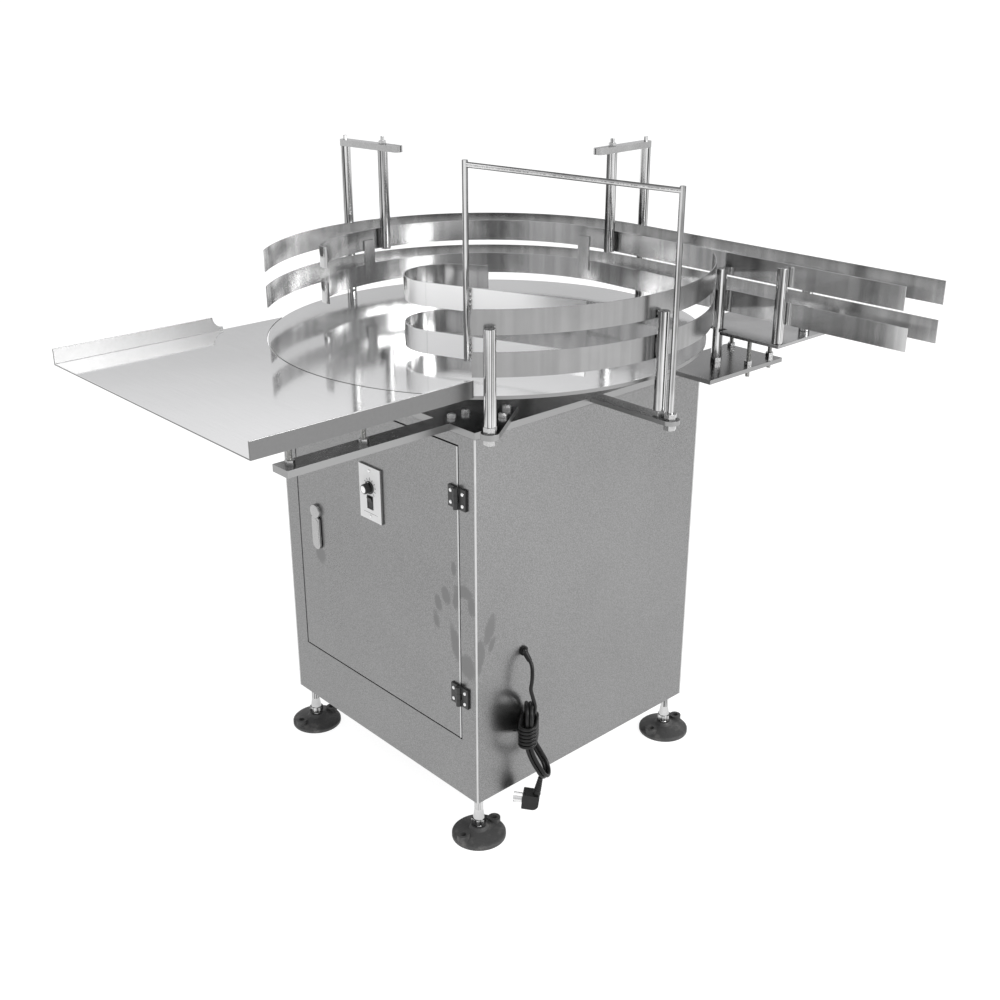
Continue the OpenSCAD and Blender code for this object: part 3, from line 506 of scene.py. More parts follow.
@dataclass(frozen=True)
class PlateFinish(MetalFinish):
    """Thick plate whose upright sides are painted brighter than its faces, as a painted highlight."""

    # Tone of the painted highlight on the upright sides
    side: float = 0.34

    def _edges(self, shader: Shader, colour: Sock, rough: Sock) -> tuple[Sock, Sock]:
        """Brightens the upright faces with a painted highlight.

        Args:
            shader: The material in the making.
            colour: Colour of the flat faces.
            rough: Roughness of the flat faces.

        Returns:
            Colour and roughness for all faces.
        """
        upright = shader.upright()
        return shader.shade(upright * 0.8, colour, grey(self.side)), rough + upright * 0.1


@dataclass(frozen=True)
class NoseFinish(MetalFinish):
    """Guide strip with a painted highlight on its long front face."""

    # Tone of the painted highlight
    bright: float = 0.92
    front: Flat = (0.353, -0.935)
    front_at: float = 0.20

    def _edges(self, shader: Shader, colour: Sock, rough: Sock) -> tuple[Sock, Sock]:
        """Paints a highlight on the front face.

        Args:
            shader: The material in the making.
            colour: Colour of the other faces.
            rough: Roughness of the other faces.

        Returns:
            Colour and roughness for all faces.
        """
        x, y, _ = shader.axes()
        right, back, _ = shader.facing()
        along, ahead = self.front
        turned = (right * along + back * ahead).step(0.75, 0.98)
        painted_highlight_mask = turned * (x * along + y * ahead).step(self.front_at, self.front_at + 0.02)
        return shader.shade(painted_highlight_mask, colour, grey(self.bright)), rough + painted_highlight_mask * 0.2


@dataclass(frozen=True)
class TurnedFinish(Finish):
    """Polished round plate with turning rings, haze and a duller rim."""

    tone: Point = (0.8, 0.8, 0.8)
    rough: float = 0.07
    rings: float = 700.0
    rim_tone: Point = (0.28, 0.28, 0.28)

    def make(self) -> bpy.types.Material:
        """Builds the metal.

        Returns:
            The material.
        """
        shader = Shader(self.name)
        x, y, _ = shader.axes()
        radius = (x * x + y * y) ** 0.5
        turn = shader.node(
            "ShaderNodeTexNoise", {"noise_dimensions": "1D"}, {"W": radius * self.rings, "Scale": 1.0, "Detail": 2.0}
        )
        haze = shader.noise((4.0, 4.0, 4.0), detail=5.0, seed=2.2)
        worn = (radius * 10.0 - 3.6).step(-0.5, 0.2)
        rough = self.rough + (turn - 0.5) * 0.05 + (haze - 0.4) * 0.10 + worn * 0.03
        dark = scaled(self.tone, 0.93)
        rim = shader.upright()
        colour = shader.shade(rim, shader.shade(haze.step(0.35, 0.7), dark, self.tone), self.rim_tone)
        shader.surface(Base_Color=colour, Metallic=1.0, Roughness=rough + rim * 0.25)
        shader.bump(turn * 0.03 + shader.noise((3.0, 3.0, 3.0), detail=1.0), 0.0009)
        return shader.material


@dataclass(frozen=True)
class ThreadFinish(Finish):
    """Bright steel with a thread along Z, with painted shade in the thread's grooves."""

    tone: Point = (0.6, 0.6, 0.58)
    rough: float = 0.24
    pitch: float = 0.00175

    def make(self) -> bpy.types.Material:
        """Builds the metal.

        Returns:
            The material.
        """
        shader = Shader(self.name)
        _, _, z = shader.axes()
        ridge = (z * (2 * math.pi / self.pitch)).sine() * 0.5 + 0.5
        oil = shader.noise((60.0, 60.0, 60.0), detail=3.0)
        # Painted shade: the thread's grooves are darker than its crests
        dark = scaled(self.tone, 0.45)
        shader.surface(
            Base_Color=shader.shade(ridge * 0.75 + oil * 0.25, dark, self.tone),
            Metallic=1.0,
            Roughness=self.rough + (oil - 0.5) * 0.15,
        )
        shader.bump(ridge, 0.0008)
        return shader.material


@dataclass(frozen=True)
class MouldedFinish(Finish):
    """Plastic, rubber or paint with a fine texture, dust and an optional tone for its edges."""

    tone: Point = (0.03, 0.03, 0.03)
    rough: float = 0.45
    cells: float = 900.0
    depth: float = 0.00006
    dust: float = 0.05
    dust_tone: Point = (0.3, 0.29, 0.28)
    coat: float = 0.0
    gloss: float = 0.5
    edge: Point | None = None

    def make(self) -> bpy.types.Material:
        """Builds the material.

        Returns:
            The material.
        """
        shader = Shader(self.name)
        fine = shader.noise((self.cells,) * 3, detail=2.0)
        worn = shader.noise((30.0, 30.0, 30.0), detail=5.0, rough=0.65, seed=4.4)
        dusty = worn.step(0.48, 0.78) * self.dust
        tone: Value = self.tone
        if self.edge is not None:
            _, across, _ = shader.facing()
            tone = shader.shade(abs(across).step(0.8, 0.95), self.edge, self.tone)
        colour = shader.shade(dusty + (fine - 0.5) * 0.02, tone, self.dust_tone)
        rough = self.rough + (worn - 0.5) * 0.18 + (fine - 0.5) * 0.1
        shader.surface(Base_Color=colour, Metallic=0.0, Roughness=rough, Specular_IOR_Level=self.gloss)
        if self.coat:
            shader.surface(Coat_Weight=self.coat, Coat_Roughness=0.12)
        shader.bump(fine, self.depth)
        return shader.material


@dataclass(frozen=True)
class InkFinish(Finish):
    """Printed mark."""

    tone: Point = (0.05, 0.05, 0.05)

    def make(self) -> bpy.types.Material:
        """Builds the material.

        Returns:
            The material.
        """
        shader = Shader(self.name)
        patch = shader.noise((400.0, 400.0, 400.0), detail=2.0)
        light = scaled(self.tone, 1.3, 0.02)
        shader.surface(Base_Color=shader.shade(patch, self.tone, light), Roughness=0.5)
        return shader.material


HAND_MARKS = (
    Smudge(-0.078, -0.381, 0.011, 0.017, -0.15),
    Smudge(-0.099, -0.402, 0.010, 0.016, -0.20),
    Smudge(-0.105, -0.437, 0.010, 0.019, -0.15),
    Smudge(-0.030, -0.358, 0.026, 0.013, -0.10),
    Smudge(-0.012, -0.376, 0.011, 0.019),
    Smudge(-0.052, -0.378, 0.008, 0.018, 0.10),
    Smudge(-0.054, -0.466, 0.013, 0.036, -0.20),
    Smudge(-0.026, -0.498, 0.025, 0.024, 0.10),
    Smudge(-0.057, -0.321, 0.006, 0.012),
    Smudge(0.030, -0.428, 0.013, 0.028, 0.25),
    Smudge(0.007, -0.470, 0.012, 0.034, 0.10),
    Smudge(0.036, -0.456, 0.008, 0.014, 0.30),
    Smudge(-0.454, -0.434, 0.016, 0.017, -0.15),
)


class Look(Enum):
    """Finishes of the table."""

    SHEET = MetalFinish(
        "satin_sheet", grey(0.258), 0.30, 0.05, (560, 560, 420), 0.00001, 2.4, 0.05, contrast=0.28, grain_and_reflection_streak=0.85,
        smudges=HAND_MARKS,
    )
    TUBE = MetalFinish("frame_tube", grey(0.30), 0.32, 0.06, (420, 420, 200))
    TRAY = TrayFinish(
        "tray_polish", grey(0.84), 0.08, 0.04, (12, 700, 700), 0.00001, 3.0, 0.05, 0.0010, (2.5, 2.5, 2.5), 0.08
    )
    TRANSFER = MetalFinish(
        "transfer_satin", grey(0.40), 0.16, 0.08, (300, 300, 300), 0.00001, 9.0, 0.12, contrast=0.25
    )
    DISC = TurnedFinish("disc_polish", grey(0.84))
    PLATE = PlateFinish("ground_plate", grey(0.2), 0.22, 0.10, (400, 400, 400), 0.00002, 6.0, 0.10, contrast=0.3)
    STRIP = MetalFinish(
        "guide_satin", grey(0.53), 0.15, 0.05, (45, 45, 1.0), 0.00001, 5.0, 0.06, 0.0006, (9.0, 9.0, 0.6), 0.24, 0.7
    )
    NOSE = NoseFinish(
        "nose_painted_highlight", grey(0.53), 0.15, 0.05, (45, 45, 1.0), 0.00001, 5.0, 0.06, 0.0006, (9.0, 9.0, 0.6), 0.24, 0.7
    )
    # The guides' steel in a darker tone: painted shade on the front guides
    FRONT = MetalFinish(
        "front_guide_painted_shade", grey(0.32), 0.2, 0.06, (60, 60, 1.5), 0.00001, 5.0, 0.1, 0.0006, (9.0, 9.0, 0.6), 0.3, 0.25
    )
    # Posts and round bars: strong dark and light streaks along Z are painted reflections of the surroundings
    ROUND = MetalFinish(
        "polished_round", grey(0.48), 0.13, 0.06, (330, 330, 2.0), 0.00002, 7.0, 0.06, contrast=0.85, grain_and_reflection_streak=1.3
    )
    # Rods: painted reflection streaks on upright faces and painted shade on level faces
    ROD = MetalFinish(
        "polished_rod_painted_light", grey(0.46), 0.13, 0.06, (330, 330, 2.0), 0.00001, 9.0, 0.08, contrast=0.7, grain_and_reflection_streak=1.2,
        upright_streaks_and_painted_shade=True,
    )
    BOLT = MetalFinish("bright_bolt", grey(0.8), 0.28, 0.12, (400, 400, 400), 0.00002, 20.0, 0.12, contrast=0.3)
    NUT = MetalFinish("bright_nut", grey(0.5), 0.24, 0.12, (400, 400, 400), 0.00002, 20.0, 0.12, contrast=0.3)
    THREAD = ThreadFinish("bright_thread")
    MACHINED = MetalFinish("machined_steel", grey(0.5), 0.25, 0.08, (80, 80, 1200))
    CASTING = MouldedFinish("housing_casting", (0.16, 0.18, 0.19), 0.5, 300.0, 0.0003, 0.15)
    GEAR_HEAD = MetalFinish("gear_head_cast", grey(0.5), 0.42, 0.10, (260, 260, 260), 0.0001, 9.0)
    MOTOR = MouldedFinish("motor_paint", (0.07, 0.08, 0.09), 0.42, 500.0, 0.0001, 0.12, coat=0.2)
    HINGE = MouldedFinish("hinge_black", grey(0.018), 0.38, 700.0, 0.00008, 0.06)
    FOOT = MouldedFinish("foot_black", grey(0.044), 0.6, 220.0, 0.0007, 0.4)
    CONTROL = MouldedFinish("control_face", grey(0.72), 0.42, 800.0, 0.00003, 0.04, edge=grey(0.2))
    CONTROLLER = MouldedFinish("controller_case", grey(0.06), 0.55, 500.0, 0.0001)
    KNOB = MouldedFinish("knob_black", grey(0.012), 0.36, 900.0, 0.00003, 0.04, coat=0.1)
    SWITCH = MouldedFinish("switch_black", grey(0.008), 0.45, 900.0, 0.00003, 0.02)
    LATCH = MetalFinish("latch_cast", grey(0.42), 0.26, 0.1, (300, 300, 300), 0.00002, 18.0, 0.08)
    CORD = MouldedFinish("cord_rubber", grey(0.006), 0.34, 700.0, 0.00005, 0.02, gloss=0.3)
    PLUG = MouldedFinish("plug_black", grey(0.007), 0.36, 600.0, 0.00008, 0.03, gloss=0.35)
    PIN = MetalFinish("plug_pin", grey(0.8), 0.2, 0.06, (300, 300, 300))
    INK = InkFinish("dark_ink")
    WHITE_INK = InkFinish("white_ink", grey(0.7))
    # Bright rods that stand as painted highlights on the cabinet's corners and the door's hinge-side edge
    HIGHLIGHT_LINE = MetalFinish("painted_highlight_line", grey(0.58), 0.3, 0.08, (400, 400, 40), 0.00001, 6.0, 0.08)
    WELD = MetalFinish("weld_bead", grey(0.36), 0.34, 0.15, (500, 500, 500), 0.0002, 60.0, 0.2, contrast=0.3)


class Finishes:
    """Builds each finish once."""

    def __init__(self) -> None:
        """Starts with none built."""
        self._made: dict[Look, bpy.types.Material] = {}

    def get(self, look: Look) -> bpy.types.Material:
        """Material of a finish.

        Args:
            look: The finish.

        Returns:
            Its material.
        """
        if look not in self._made:
            self._made[look] = look.value.make()
        return self._made[look]


def aim(axis: Sequence[float], origin: Sequence[float]) -> Matrix:
    """Matrix that turns +Z to an axis and moves to a point."""
    turn = Vector((0, 0, 1)).rotation_difference(Vector(axis).normalized()).to_matrix().to_4x4()
    return Matrix.Translation(Vector(origin)) @ turn


def circle(count: int) -> list[tuple[float, float, float]]:
    """Angle, cosine and sine of even steps round a circle."""
    angles = [2 * math.pi * k / count for k in range(count)]
    return [(a, math.cos(a), math.sin(a)) for a in angles]


def bevel(bm: bmesh.types.BMesh, edges: Iterable[bmesh.types.BMEdge], radius: float, steps: int = 3) -> None:
    """Rounds edges of a mesh.

    Args:
        bm: The mesh in the making.
        edges: Its edges that are rounded.
        radius: Radius of the rounding.
        steps: Faces across an edge.
    """
    bmesh.ops.bevel(
        bm, geom=list(edges), offset=radius, segments=steps, profile=0.5, affect="EDGES", clamp_overlap=True
    )


def finished(bm: bmesh.types.BMesh, name: str) -> bpy.types.Mesh:
    """Turns a mesh in the making into a mesh and frees it.

    Args:
        bm: The mesh in the making.
        name: Name of the mesh.

    Returns:
        The mesh.
    """
    mesh = bpy.data.meshes.new(name)
    bm.to_mesh(mesh)
    bm.free()
    return mesh


def linked(name: str, data: bpy.types.ID) -> bpy.types.Object:
    """Puts a new object in the scene.

    Args:
        name: Name of the object.
        data: Its mesh, curve, lamp or camera.

    Returns:
        The object.
    """
    made = bpy.data.objects.new(name, data)
    bpy.context.scene.collection.objects.link(made)
    return made


class Solid:
    """A mesh in the making, with the shapes that the small parts need."""

    def __init__(self) -> None:
        """Starts an empty mesh."""
        self.bm = bmesh.new()

    def lathe(self, profile: Sequence[Flat], at: Matrix, sides: int = 32) -> Solid:
        """Turned shape about the Z axis of a matrix.

        Args:
            profile: Radius and height of each ring, from the bottom up.
            at: Where the shape stands.
            sides: Faces round the axis.

        Returns:
            This solid.
        """
        rings = []
        for radius, height in profile:
            if radius < 1e-7:
                rings.append([self.bm.verts.new(at @ Vector((0, 0, height)))])
                continue
            spots = [at @ Vector((radius * cos, radius * sin, height)) for _, cos, sin in circle(sides)]
            rings.append([self.bm.verts.new(spot) for spot in spots])
        for low, high in zip(rings, rings[1:]):
            for k in range(sides):
                m = (k + 1) % sides
                if len(low) == 1 and len(high) > 1:
                    self.bm.faces.new((low[0], high[k], high[m]))
                elif len(high) == 1 and len(low) > 1:
                    self.bm.faces.new((low[k], low[m], high[0]))
                elif len(low) > 1:
                    self.bm.faces.new((low[k], low[m], high[m], high[k]))
        for ring, flip in ((rings[0], True), (rings[-1], False)):
            if len(ring) > 1:
                self.bm.faces.new(list(reversed(ring)) if flip else ring)
        return self

    def block(self, low: Point, high: Point, soft: float = 0.0, at: Matrix | None = None) -> Solid:
        """Box with softened edges.

        Args:
            low: Lowest corner.
            high: Highest corner.
            soft: Radius of its edges.
            at: Where the box stands, if not in the frame of the solids.

        Returns:
            This solid.
        """
        part = bmesh.new()
        bmesh.ops.create_cube(part, size=1.0)
        size = [h - l for l, h in zip(low, high)]
        middle = [(h + l) / 2 for l, h in zip(low, high)]
        bmesh.ops.scale(part, vec=size, verts=part.verts)
        bmesh.ops.translate(part, vec=middle, verts=part.verts)
        if soft:
            bevel(part, part.edges, soft)
        if at is not None:
            bmesh.ops.transform(part, matrix=at, verts=part.verts)
        self.take(part)
        return self

    def hoop(self, path: Sequence[Vector], radius: float, sides: int = 10) -> Solid:
        """Round bar along a closed path.

        Args:
            path: Points of its middle line.
            radius: Radius of the bar.
            sides: Faces round it.

        Returns:
            This solid.
        """
        count = len(path)
        rings: list[list[bmesh.types.BMVert]] = []
        side: Vector | None = None
        for i, point in enumerate(path):
            way = (path[(i + 1) % count] - path[i - 1]).normalized()
            if side is None:
                side = way.orthogonal().normalized()
            side = (side - way * side.dot(way)).normalized()
            other = way.cross(side)
            spots = [point + radius * (cos * side + sin * other) for _, cos, sin in circle(sides)]
            rings.append([self.bm.verts.new(spot) for spot in spots])
        for low, high in zip(rings, rings[1:] + rings[:1]):
            for k in range(sides):
                m = (k + 1) % sides
                self.bm.faces.new((low[k], low[m], high[m], high[k]))
        return self

    def prism(self, outline: Sequence[Flat], low: float, high: float, at: Matrix, soft: float = 0.0) -> Solid:
        """Flat outline made thick.

        Args:
            outline: Points round the outline, counter-clockwise.
            low: Height of its underside.
            high: Height of its top.
            at: Where it stands.
            soft: Radius of its edges.

        Returns:
            This solid.
        """
        part = bmesh.new()
        under = [part.verts.new((x, y, low)) for x, y in outline]
        over = [part.verts.new((x, y, high)) for x, y in outline]
        part.faces.new(list(reversed(under)))
        part.faces.new(over)
        count = len(outline)
        for k in range(count):
            m = (k + 1) % count
            part.faces.new((under[k], under[m], over[m], over[k]))
        if soft:
            bevel(part, [e for e in part.edges if e.calc_face_angle(0.0) > RIM_ANGLE], soft)
        bmesh.ops.transform(part, matrix=at, verts=part.verts)
        self.take(part)
        return self

    def take(self, part: bmesh.types.BMesh) -> None:
        """Adds another mesh to this one and frees it.

        Args:
            part: The other mesh.
        """
        store = finished(part, "part")
        self.bm.from_mesh(store)
        bpy.data.meshes.remove(store)


class Maker:
    """Makes pieces, gives them finishes and sets them on their bodies."""

    def __init__(self, frame: dict[str, Any]) -> None:
        """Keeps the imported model's nodes.
        """
        self.nodes: dict[str, bpy.types.Object] = frame["nodes"]
        self.slots = {p["node"]: p["material_slot"] for p in frame["record"]["subparts"]}
        self.finishes = Finishes()

    def paint(self, look: Look, *names: str) -> None:
        """Gives CAD nodes a finish.

        Args:
            look: The finish.
            names: The nodes.
        """
        for name in names:
            data = self.nodes[name].data
            data.materials.clear()
            data.materials.append(self.finishes.get(look))
            log.info("%s is dressed", name)

    def link(
        self, name: str, mesh: bpy.types.Mesh, look: Look, body: Body, slot: str, angle: float
    ) -> bpy.types.Object:
        """Puts a mesh in the scene as a piece.

        Args:
            name: Name of the piece.
            mesh: Its mesh.
            look: Its finish.
            body: Body that it moves with.
            slot: Material slot of the record; not used.
            angle: Edges sharper than this, in degrees, stay sharp.

        Returns:
            The piece.
        """
        mesh.materials.clear()
        mesh.materials.append(self.finishes.get(look))
        for face in mesh.polygons:
            face.use_smooth = True
        mesh.set_sharp_from_angle(angle=math.radians(angle))
        piece = linked(name, mesh)
        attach(piece, body.value)
        log.info("%s rides on %s", name, body.value)
        return piece

    def add(self, name: str, solid: Solid, look: Look, body: Body, slot: str, angle: float = 35.0) -> bpy.types.Object:
        """Turns a solid into a piece."""
        bmesh.ops.recalc_face_normals(solid.bm, faces=solid.bm.faces)
        return self.link(name, finished(solid.bm, name), look, body, slot, angle)

    def soften(self, node: str, look: Look, body: Body, radius: float, steps: int = 2) -> bpy.types.Object:
        """Stands a piece with rounded edges in a CAD node's place.

        Args:
            node: The CAD node.
            look: Finish of the piece.
            body: Body that it moves with.
            radius: Radius of its edges.
            steps: Faces across an edge.

        Returns:
            The piece.
        """
        bm = bmesh.new()
        bm.from_mesh(self.nodes[node].data)
        bmesh.ops.remove_doubles(bm, verts=bm.verts, dist=SAME_POINT)
        bmesh.ops.dissolve_limit(
            bm, angle_limit=FLAT_ANGLE, use_dissolve_boundaries=False, verts=bm.verts, edges=bm.edges
        )
        bevel(bm, [e for e in bm.edges if e.is_manifold and e.calc_face_angle(0.0) > SHARP_ANGLE], radius, steps)
        name = f"{node}_soft"
        piece = self.link(name, finished(bm, name), look, body, self.slots[node], 50.0)
        even = piece.modifiers.new("even_shading", "WEIGHTED_NORMAL")
        even.keep_sharp = True
        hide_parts(node)
        return piece


@dataclass(frozen=True)
class Lamp:
    """A square soft lamp: where it hangs, what it points at, its side and its power in watts."""

    name: str
    place: Point
    target: Point
    size: float
    power: float


@dataclass
class Studio:
    """Floor, light and camera."""

    eye: Point = (1.6907, -1.5192, 0.6136)
    turn: float = 47.48
    tilt: float = 67.15
    lens: float = 45.41
    floor_tone: float = 0.3
    floor_glow: float = 0.88
    floor_gap: float = 0.0005
    sky: Profile = (
        (0.0, 0.5), (0.5, 1.06), (0.525, 1.0), (0.585, 0.6), (0.63, 0.62), (0.67, 0.97), (0.76, 0.95), (0.86, 0.5),
        (1.0, 0.38),
    )
    sky_power: float = 0.95
    lamps: tuple[Lamp, ...] = (
        Lamp("key_light", (0.4, -2.8, 2.9), (0.1, -0.1, -0.3), 2.4, 28.0),
        Lamp("right_light", (3.2, 0.8, 1.5), (0.2, 0.0, -0.3), 2.2, 96.0),
        Lamp("top_light", (-0.6, 0.9, 4.2), (0.0, 0.0, 0.0), 5.0, 20.0),
    )

    def build(self) -> None:
        """Makes the camera, the floor and the lights."""
        self._camera()
        self._floor()
        self._world()
        for lamp in self.lamps:
            self._hang(lamp)

    def _camera(self) -> None:
        """Sets the camera where the photo was taken from."""
        data = bpy.data.cameras.new("photo_camera")
        data.lens = self.lens
        data.sensor_width = 36.0
        data.clip_end = 1500.0
        camera = linked("photo_camera", data)
        camera.location = self.eye
        camera.rotation_euler = (math.radians(self.tilt), 0.0, math.radians(self.turn))
        bpy.context.scene.camera = camera

    def _floor(self) -> None:
        """Lays the pale floor."""
        bm = bmesh.new()
        bmesh.ops.create_grid(bm, x_segments=1, y_segments=1, size=400.0)
        shader = Shader("pale_floor")
        shader.surface(Base_Color=(*grey(self.floor_tone), 1.0), Roughness=0.9)
        shader.surface(Emission_Color=(*grey(1.0), 1.0), Emission_Strength=self.floor_glow)
        floor = linked("floor", finished(bm, "floor"))
        floor.data.materials.append(shader.material)
        floor.location.z = FLOOR_Z - self.floor_gap

    def _world(self) -> None:
        """Fills the room with soft light that is darker overhead."""
        world = bpy.data.worlds.new("studio_room")
        bpy.context.scene.world = world
        world.use_nodes = True
        graph = Graph(world.node_tree)
        way = graph.node("ShaderNodeTexCoord", output="Generated")
        height = graph.node("ShaderNodeSeparateXYZ", inputs={0: way}, output="Z")
        share = graph.node("ShaderNodeMapRange", inputs={"Value": height, "From Min": -1.0})
        stops = [(at, (tone, tone, tone * 1.01)) for at, tone in self.sky]
        colour = graph.node("ShaderNodeValToRGB", {"stops": stops}, {0: share})
        light = graph.node("ShaderNodeBackground", inputs={"Color": colour, "Strength": self.sky_power})
        graph.end("ShaderNodeOutputWorld", light)

    @staticmethod
    def _hang(lamp: Lamp) -> None:
        """Hangs a lamp.

        Args:
            lamp: The lamp.
        """
        data = bpy.data.lights.new(lamp.name, "AREA")
        data.size = lamp.size
        data.energy = lamp.power
        hung = linked(lamp.name, data)
        hung.location = lamp.place
        hung.rotation_euler = (Vector(lamp.target) - Vector(lamp.place)).to_track_quat("-Z", "Y").to_euler()


@dataclass
class PowerCord:
    """Cord that hangs from the right side: a drop, a tied hank that leans below its tie, and a plug."""

    radius: float = 0.0035
    leave: Point = (0.297142, -0.170, -0.511142)
    steps: tuple[Point, ...] = (
        (0.0, 0.0, 0.0),
        (0.003, 0.0, -0.003),
        (0.007, -0.001, -0.009),
        (0.010, -0.003, -0.016),
        (0.012, -0.005, -0.025),
        (0.013, -0.007, -0.036),
        (0.013, -0.009, -0.050),
    )
    hank_at: Point = (0.011, -0.012, -0.076)
    enter: Profile = ((0.006, 0.01), (0.018, 0.14), (0.027, 0.40), (0.036, 0.70), (0.045, 0.93))
    leave_hank: Profile = ((0.107, 0.95), (0.117, 0.74), (0.127, 0.42), (0.136, 0.14), (0.144, 0.01))
    tail: Profile = ((0.0222, -0.1490), (0.0236, -0.1555), (0.0232, -0.1620))
    first_run: float = 0.056
    last_run: float = 0.098
    run_gap: float = 0.012
    hank_turn: float = -50.0
    hank_w: float = 0.050
    hank_drop: float = 0.090
    hank_lean: float = 28.0
    hank_l: float = 0.160
    bend_r: float = 0.050
    turns: int = 3
    layer: float = 0.0072
    tie_r: float = 0.0032
    tie_turns: int = 6
    tie_from: float = 0.037
    tie_gap: float = 0.0004
    tie_slope: float = 0.0024
    plug_at: Point = (0.0, 0.0055, -0.205)
    neck_from: Point = (0.0, 0.023, -0.156)
    neck_to: Point = (0.0, 0.016, -0.192)
    neck_ends: Profile = ((0.0044, 0.0), (0.0070, 0.9), (0.0074, 1.0))
    rib: Profile = ((0.0, 0.0), (0.0, 0.0026), (-0.0008, 0.0029), (-0.0007, 0.0038))
    rib_count: int = 7
    rib_from: float = 0.002
    rib_pitch: float = 0.115
    rib_r: Flat = (0.0047, 0.00032)
    plug_tip: float = -5.0
    plug_half_t: float = 0.013
    plug_corners: tuple[Point, ...] = (
        (0.0155, 0.015, 0.003),
        (-0.0155, 0.015, 0.002),
        (-0.0155, -0.015, 0.002),
        (0.0155, -0.015, 0.012),
    )
    blades: tuple[Point, ...] = ((-0.007, 0.004, 30), (0.007, 0.004, -30), (0.0, -0.008, 0))
    blade_from: float = -0.0155

    def __post_init__(self) -> None:
        """Works out the hank's frame."""
        top = Vector(self.leave) + Vector(self.hank_at)
        self.frame = Matrix.Translation(top) @ Matrix.Rotation(math.radians(self.hank_turn), 4, "Z")

    def spot(self, depth: float, side: float, out: float) -> Vector:
        """Point of the hank.

        Args:
            depth: Distance along its middle line, which bends below the tie.
            side: Distance across its width.
            out: Distance across its thickness.

        Returns:
            The point in the frame of the solids.
        """
        lean = math.radians(self.hank_lean)
        start = self.hank_drop - self.bend_r * math.tan(lean / 2)
        angle = min(max(depth - start, 0.0) / self.bend_r, lean)
        rest = max(depth - start - self.bend_r * lean, 0.0)
        across = self.bend_r * (1 - math.cos(angle)) + rest * math.sin(lean)
        height = -min(depth, start) - self.bend_r * math.sin(angle) - rest * math.cos(lean)
        return self.frame @ Vector((side, across + out * math.cos(angle), height + out * math.sin(angle)))

    def route(self) -> list[Vector]:
        """Middle line of the cord, from the gland to the plug.

        Returns:
            Its points.
        """
        half = self.hank_w / 2 - self.radius
        upper = half + self.radius
        lower = self.hank_l - half - self.radius
        first = self.layer * (self.turns - 1) / 2
        enter = first + self.layer * 0.55
        points = [Vector(self.leave) + Vector(s) for s in self.steps]
        points.append(self.spot(-0.008, 0.0, enter * 0.72))
        for depth, share in self.enter:
            points.append(self.spot(depth, -half * share, enter + (first - enter) * share))
        for turn in range(self.turns):
            out = first - turn * self.layer
            start = self.first_run if turn == 0 else upper + self.run_gap
            last = turn == self.turns - 1
            stop = self.last_run if last else lower
            for k in range(5):
                points.append(self.spot(start + (stop - start) * k / 4, -half, out))
            if last:
                break
            for k in range(1, 9):
                a = math.pi * k / 8
                points.append(self.spot(lower + half * math.sin(a), -half * math.cos(a), out))
            for k in range(1, 5):
                points.append(self.spot(lower + (upper - lower) * k / 4, half, out))
            for k in range(1, 9):
                a = math.pi * k / 8
                shift = 0.5 - 0.5 * math.cos(a)
                points.append(self.spot(upper - half * math.sin(a), half * math.cos(a), out - shift * self.layer))
        out = first - (self.turns - 1) * self.layer
        for depth, share in self.leave_hank:
            points.append(self.spot(depth, -half * share, out))
        points += [self.frame @ Vector((0.0, across, height)) for across, height in self.tail]
        return points

    def build(self, make: Maker) -> None:
        """Makes the cord, its tie and its plug.

        Args:
            make: Maker of pieces.
        """
        fine = self._smooth(self.route())
        data = bpy.data.curves.new("power_cord", "CURVE")
        data.dimensions = "3D"
        data.bevel_depth = self.radius
        data.bevel_resolution = 4
        data.use_fill_caps = True
        spline = data.splines.new("POLY")
        spline.points.add(len(fine) - 1)
        for knot, point in zip(spline.points, fine):
            knot.co = (*point, 1.0)
        data.materials.append(make.finishes.get(Look.CORD))
        cord = linked("power_cord", data)
        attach(cord, Body.STAND.value)
        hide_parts("cord", "cord_hank")
        length = sum((b - a).length for a, b in zip(fine, fine[1:]))
        self._tie(make)
        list(self._plug(make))
        log.info("cord is %.3f m long", length)

    def _smooth(self, points: Sequence[Vector], fill: int = 3) -> list[Vector]:
        """Rounds the route with more points between the given ones.

        Args:
            points: Points of the route.
            fill: Steps between two points.

        Returns:
            The rounded route.
        """
        fine: list[Vector] = []
        count = len(points)
        for i in range(count - 1):
            a = points[max(i - 1, 0)]
            b, c = points[i], points[i + 1]
            d = points[min(i + 2, count - 1)]
            for k in range(fill):
                t = k / fill
                bend = (c - a) * t + (2 * a - 5 * b + 4 * c - d) * t**2 + (3 * b - a - 3 * c + d) * t**3
                fine.append(b + 0.5 * bend)
        fine.append(points[-1])
        return fine

    def _tie(self, make: Maker) -> bpy.types.Object:
        """Winds the tie round the hank.

        Args:
            make: Maker of pieces.

        Returns:
            The tie.
        """
        solid = Solid()
        half_side = self.hank_w / 2 + self.tie_r + self.tie_gap
        half_out = self.layer + self.radius + self.tie_r + self.tie_gap
        straight = half_side - half_out
        for turn in range(self.tie_turns):
            depth = self.tie_from + turn * 2.28 * self.tie_r
            ring = []
            for a, cos, sin in circle(32):
                slope = self.tie_slope * math.cos(a + 0.7)
                side = half_out * cos + math.copysign(straight, cos) * min(1.0, abs(cos) * 4)
                ring.append(self.spot(depth + slope, side, half_out * sin))
            solid.hoop(ring, self.tie_r)
        return make.add("hank_tie", solid, Look.CORD, Body.STAND, "cord_rubber", 60)

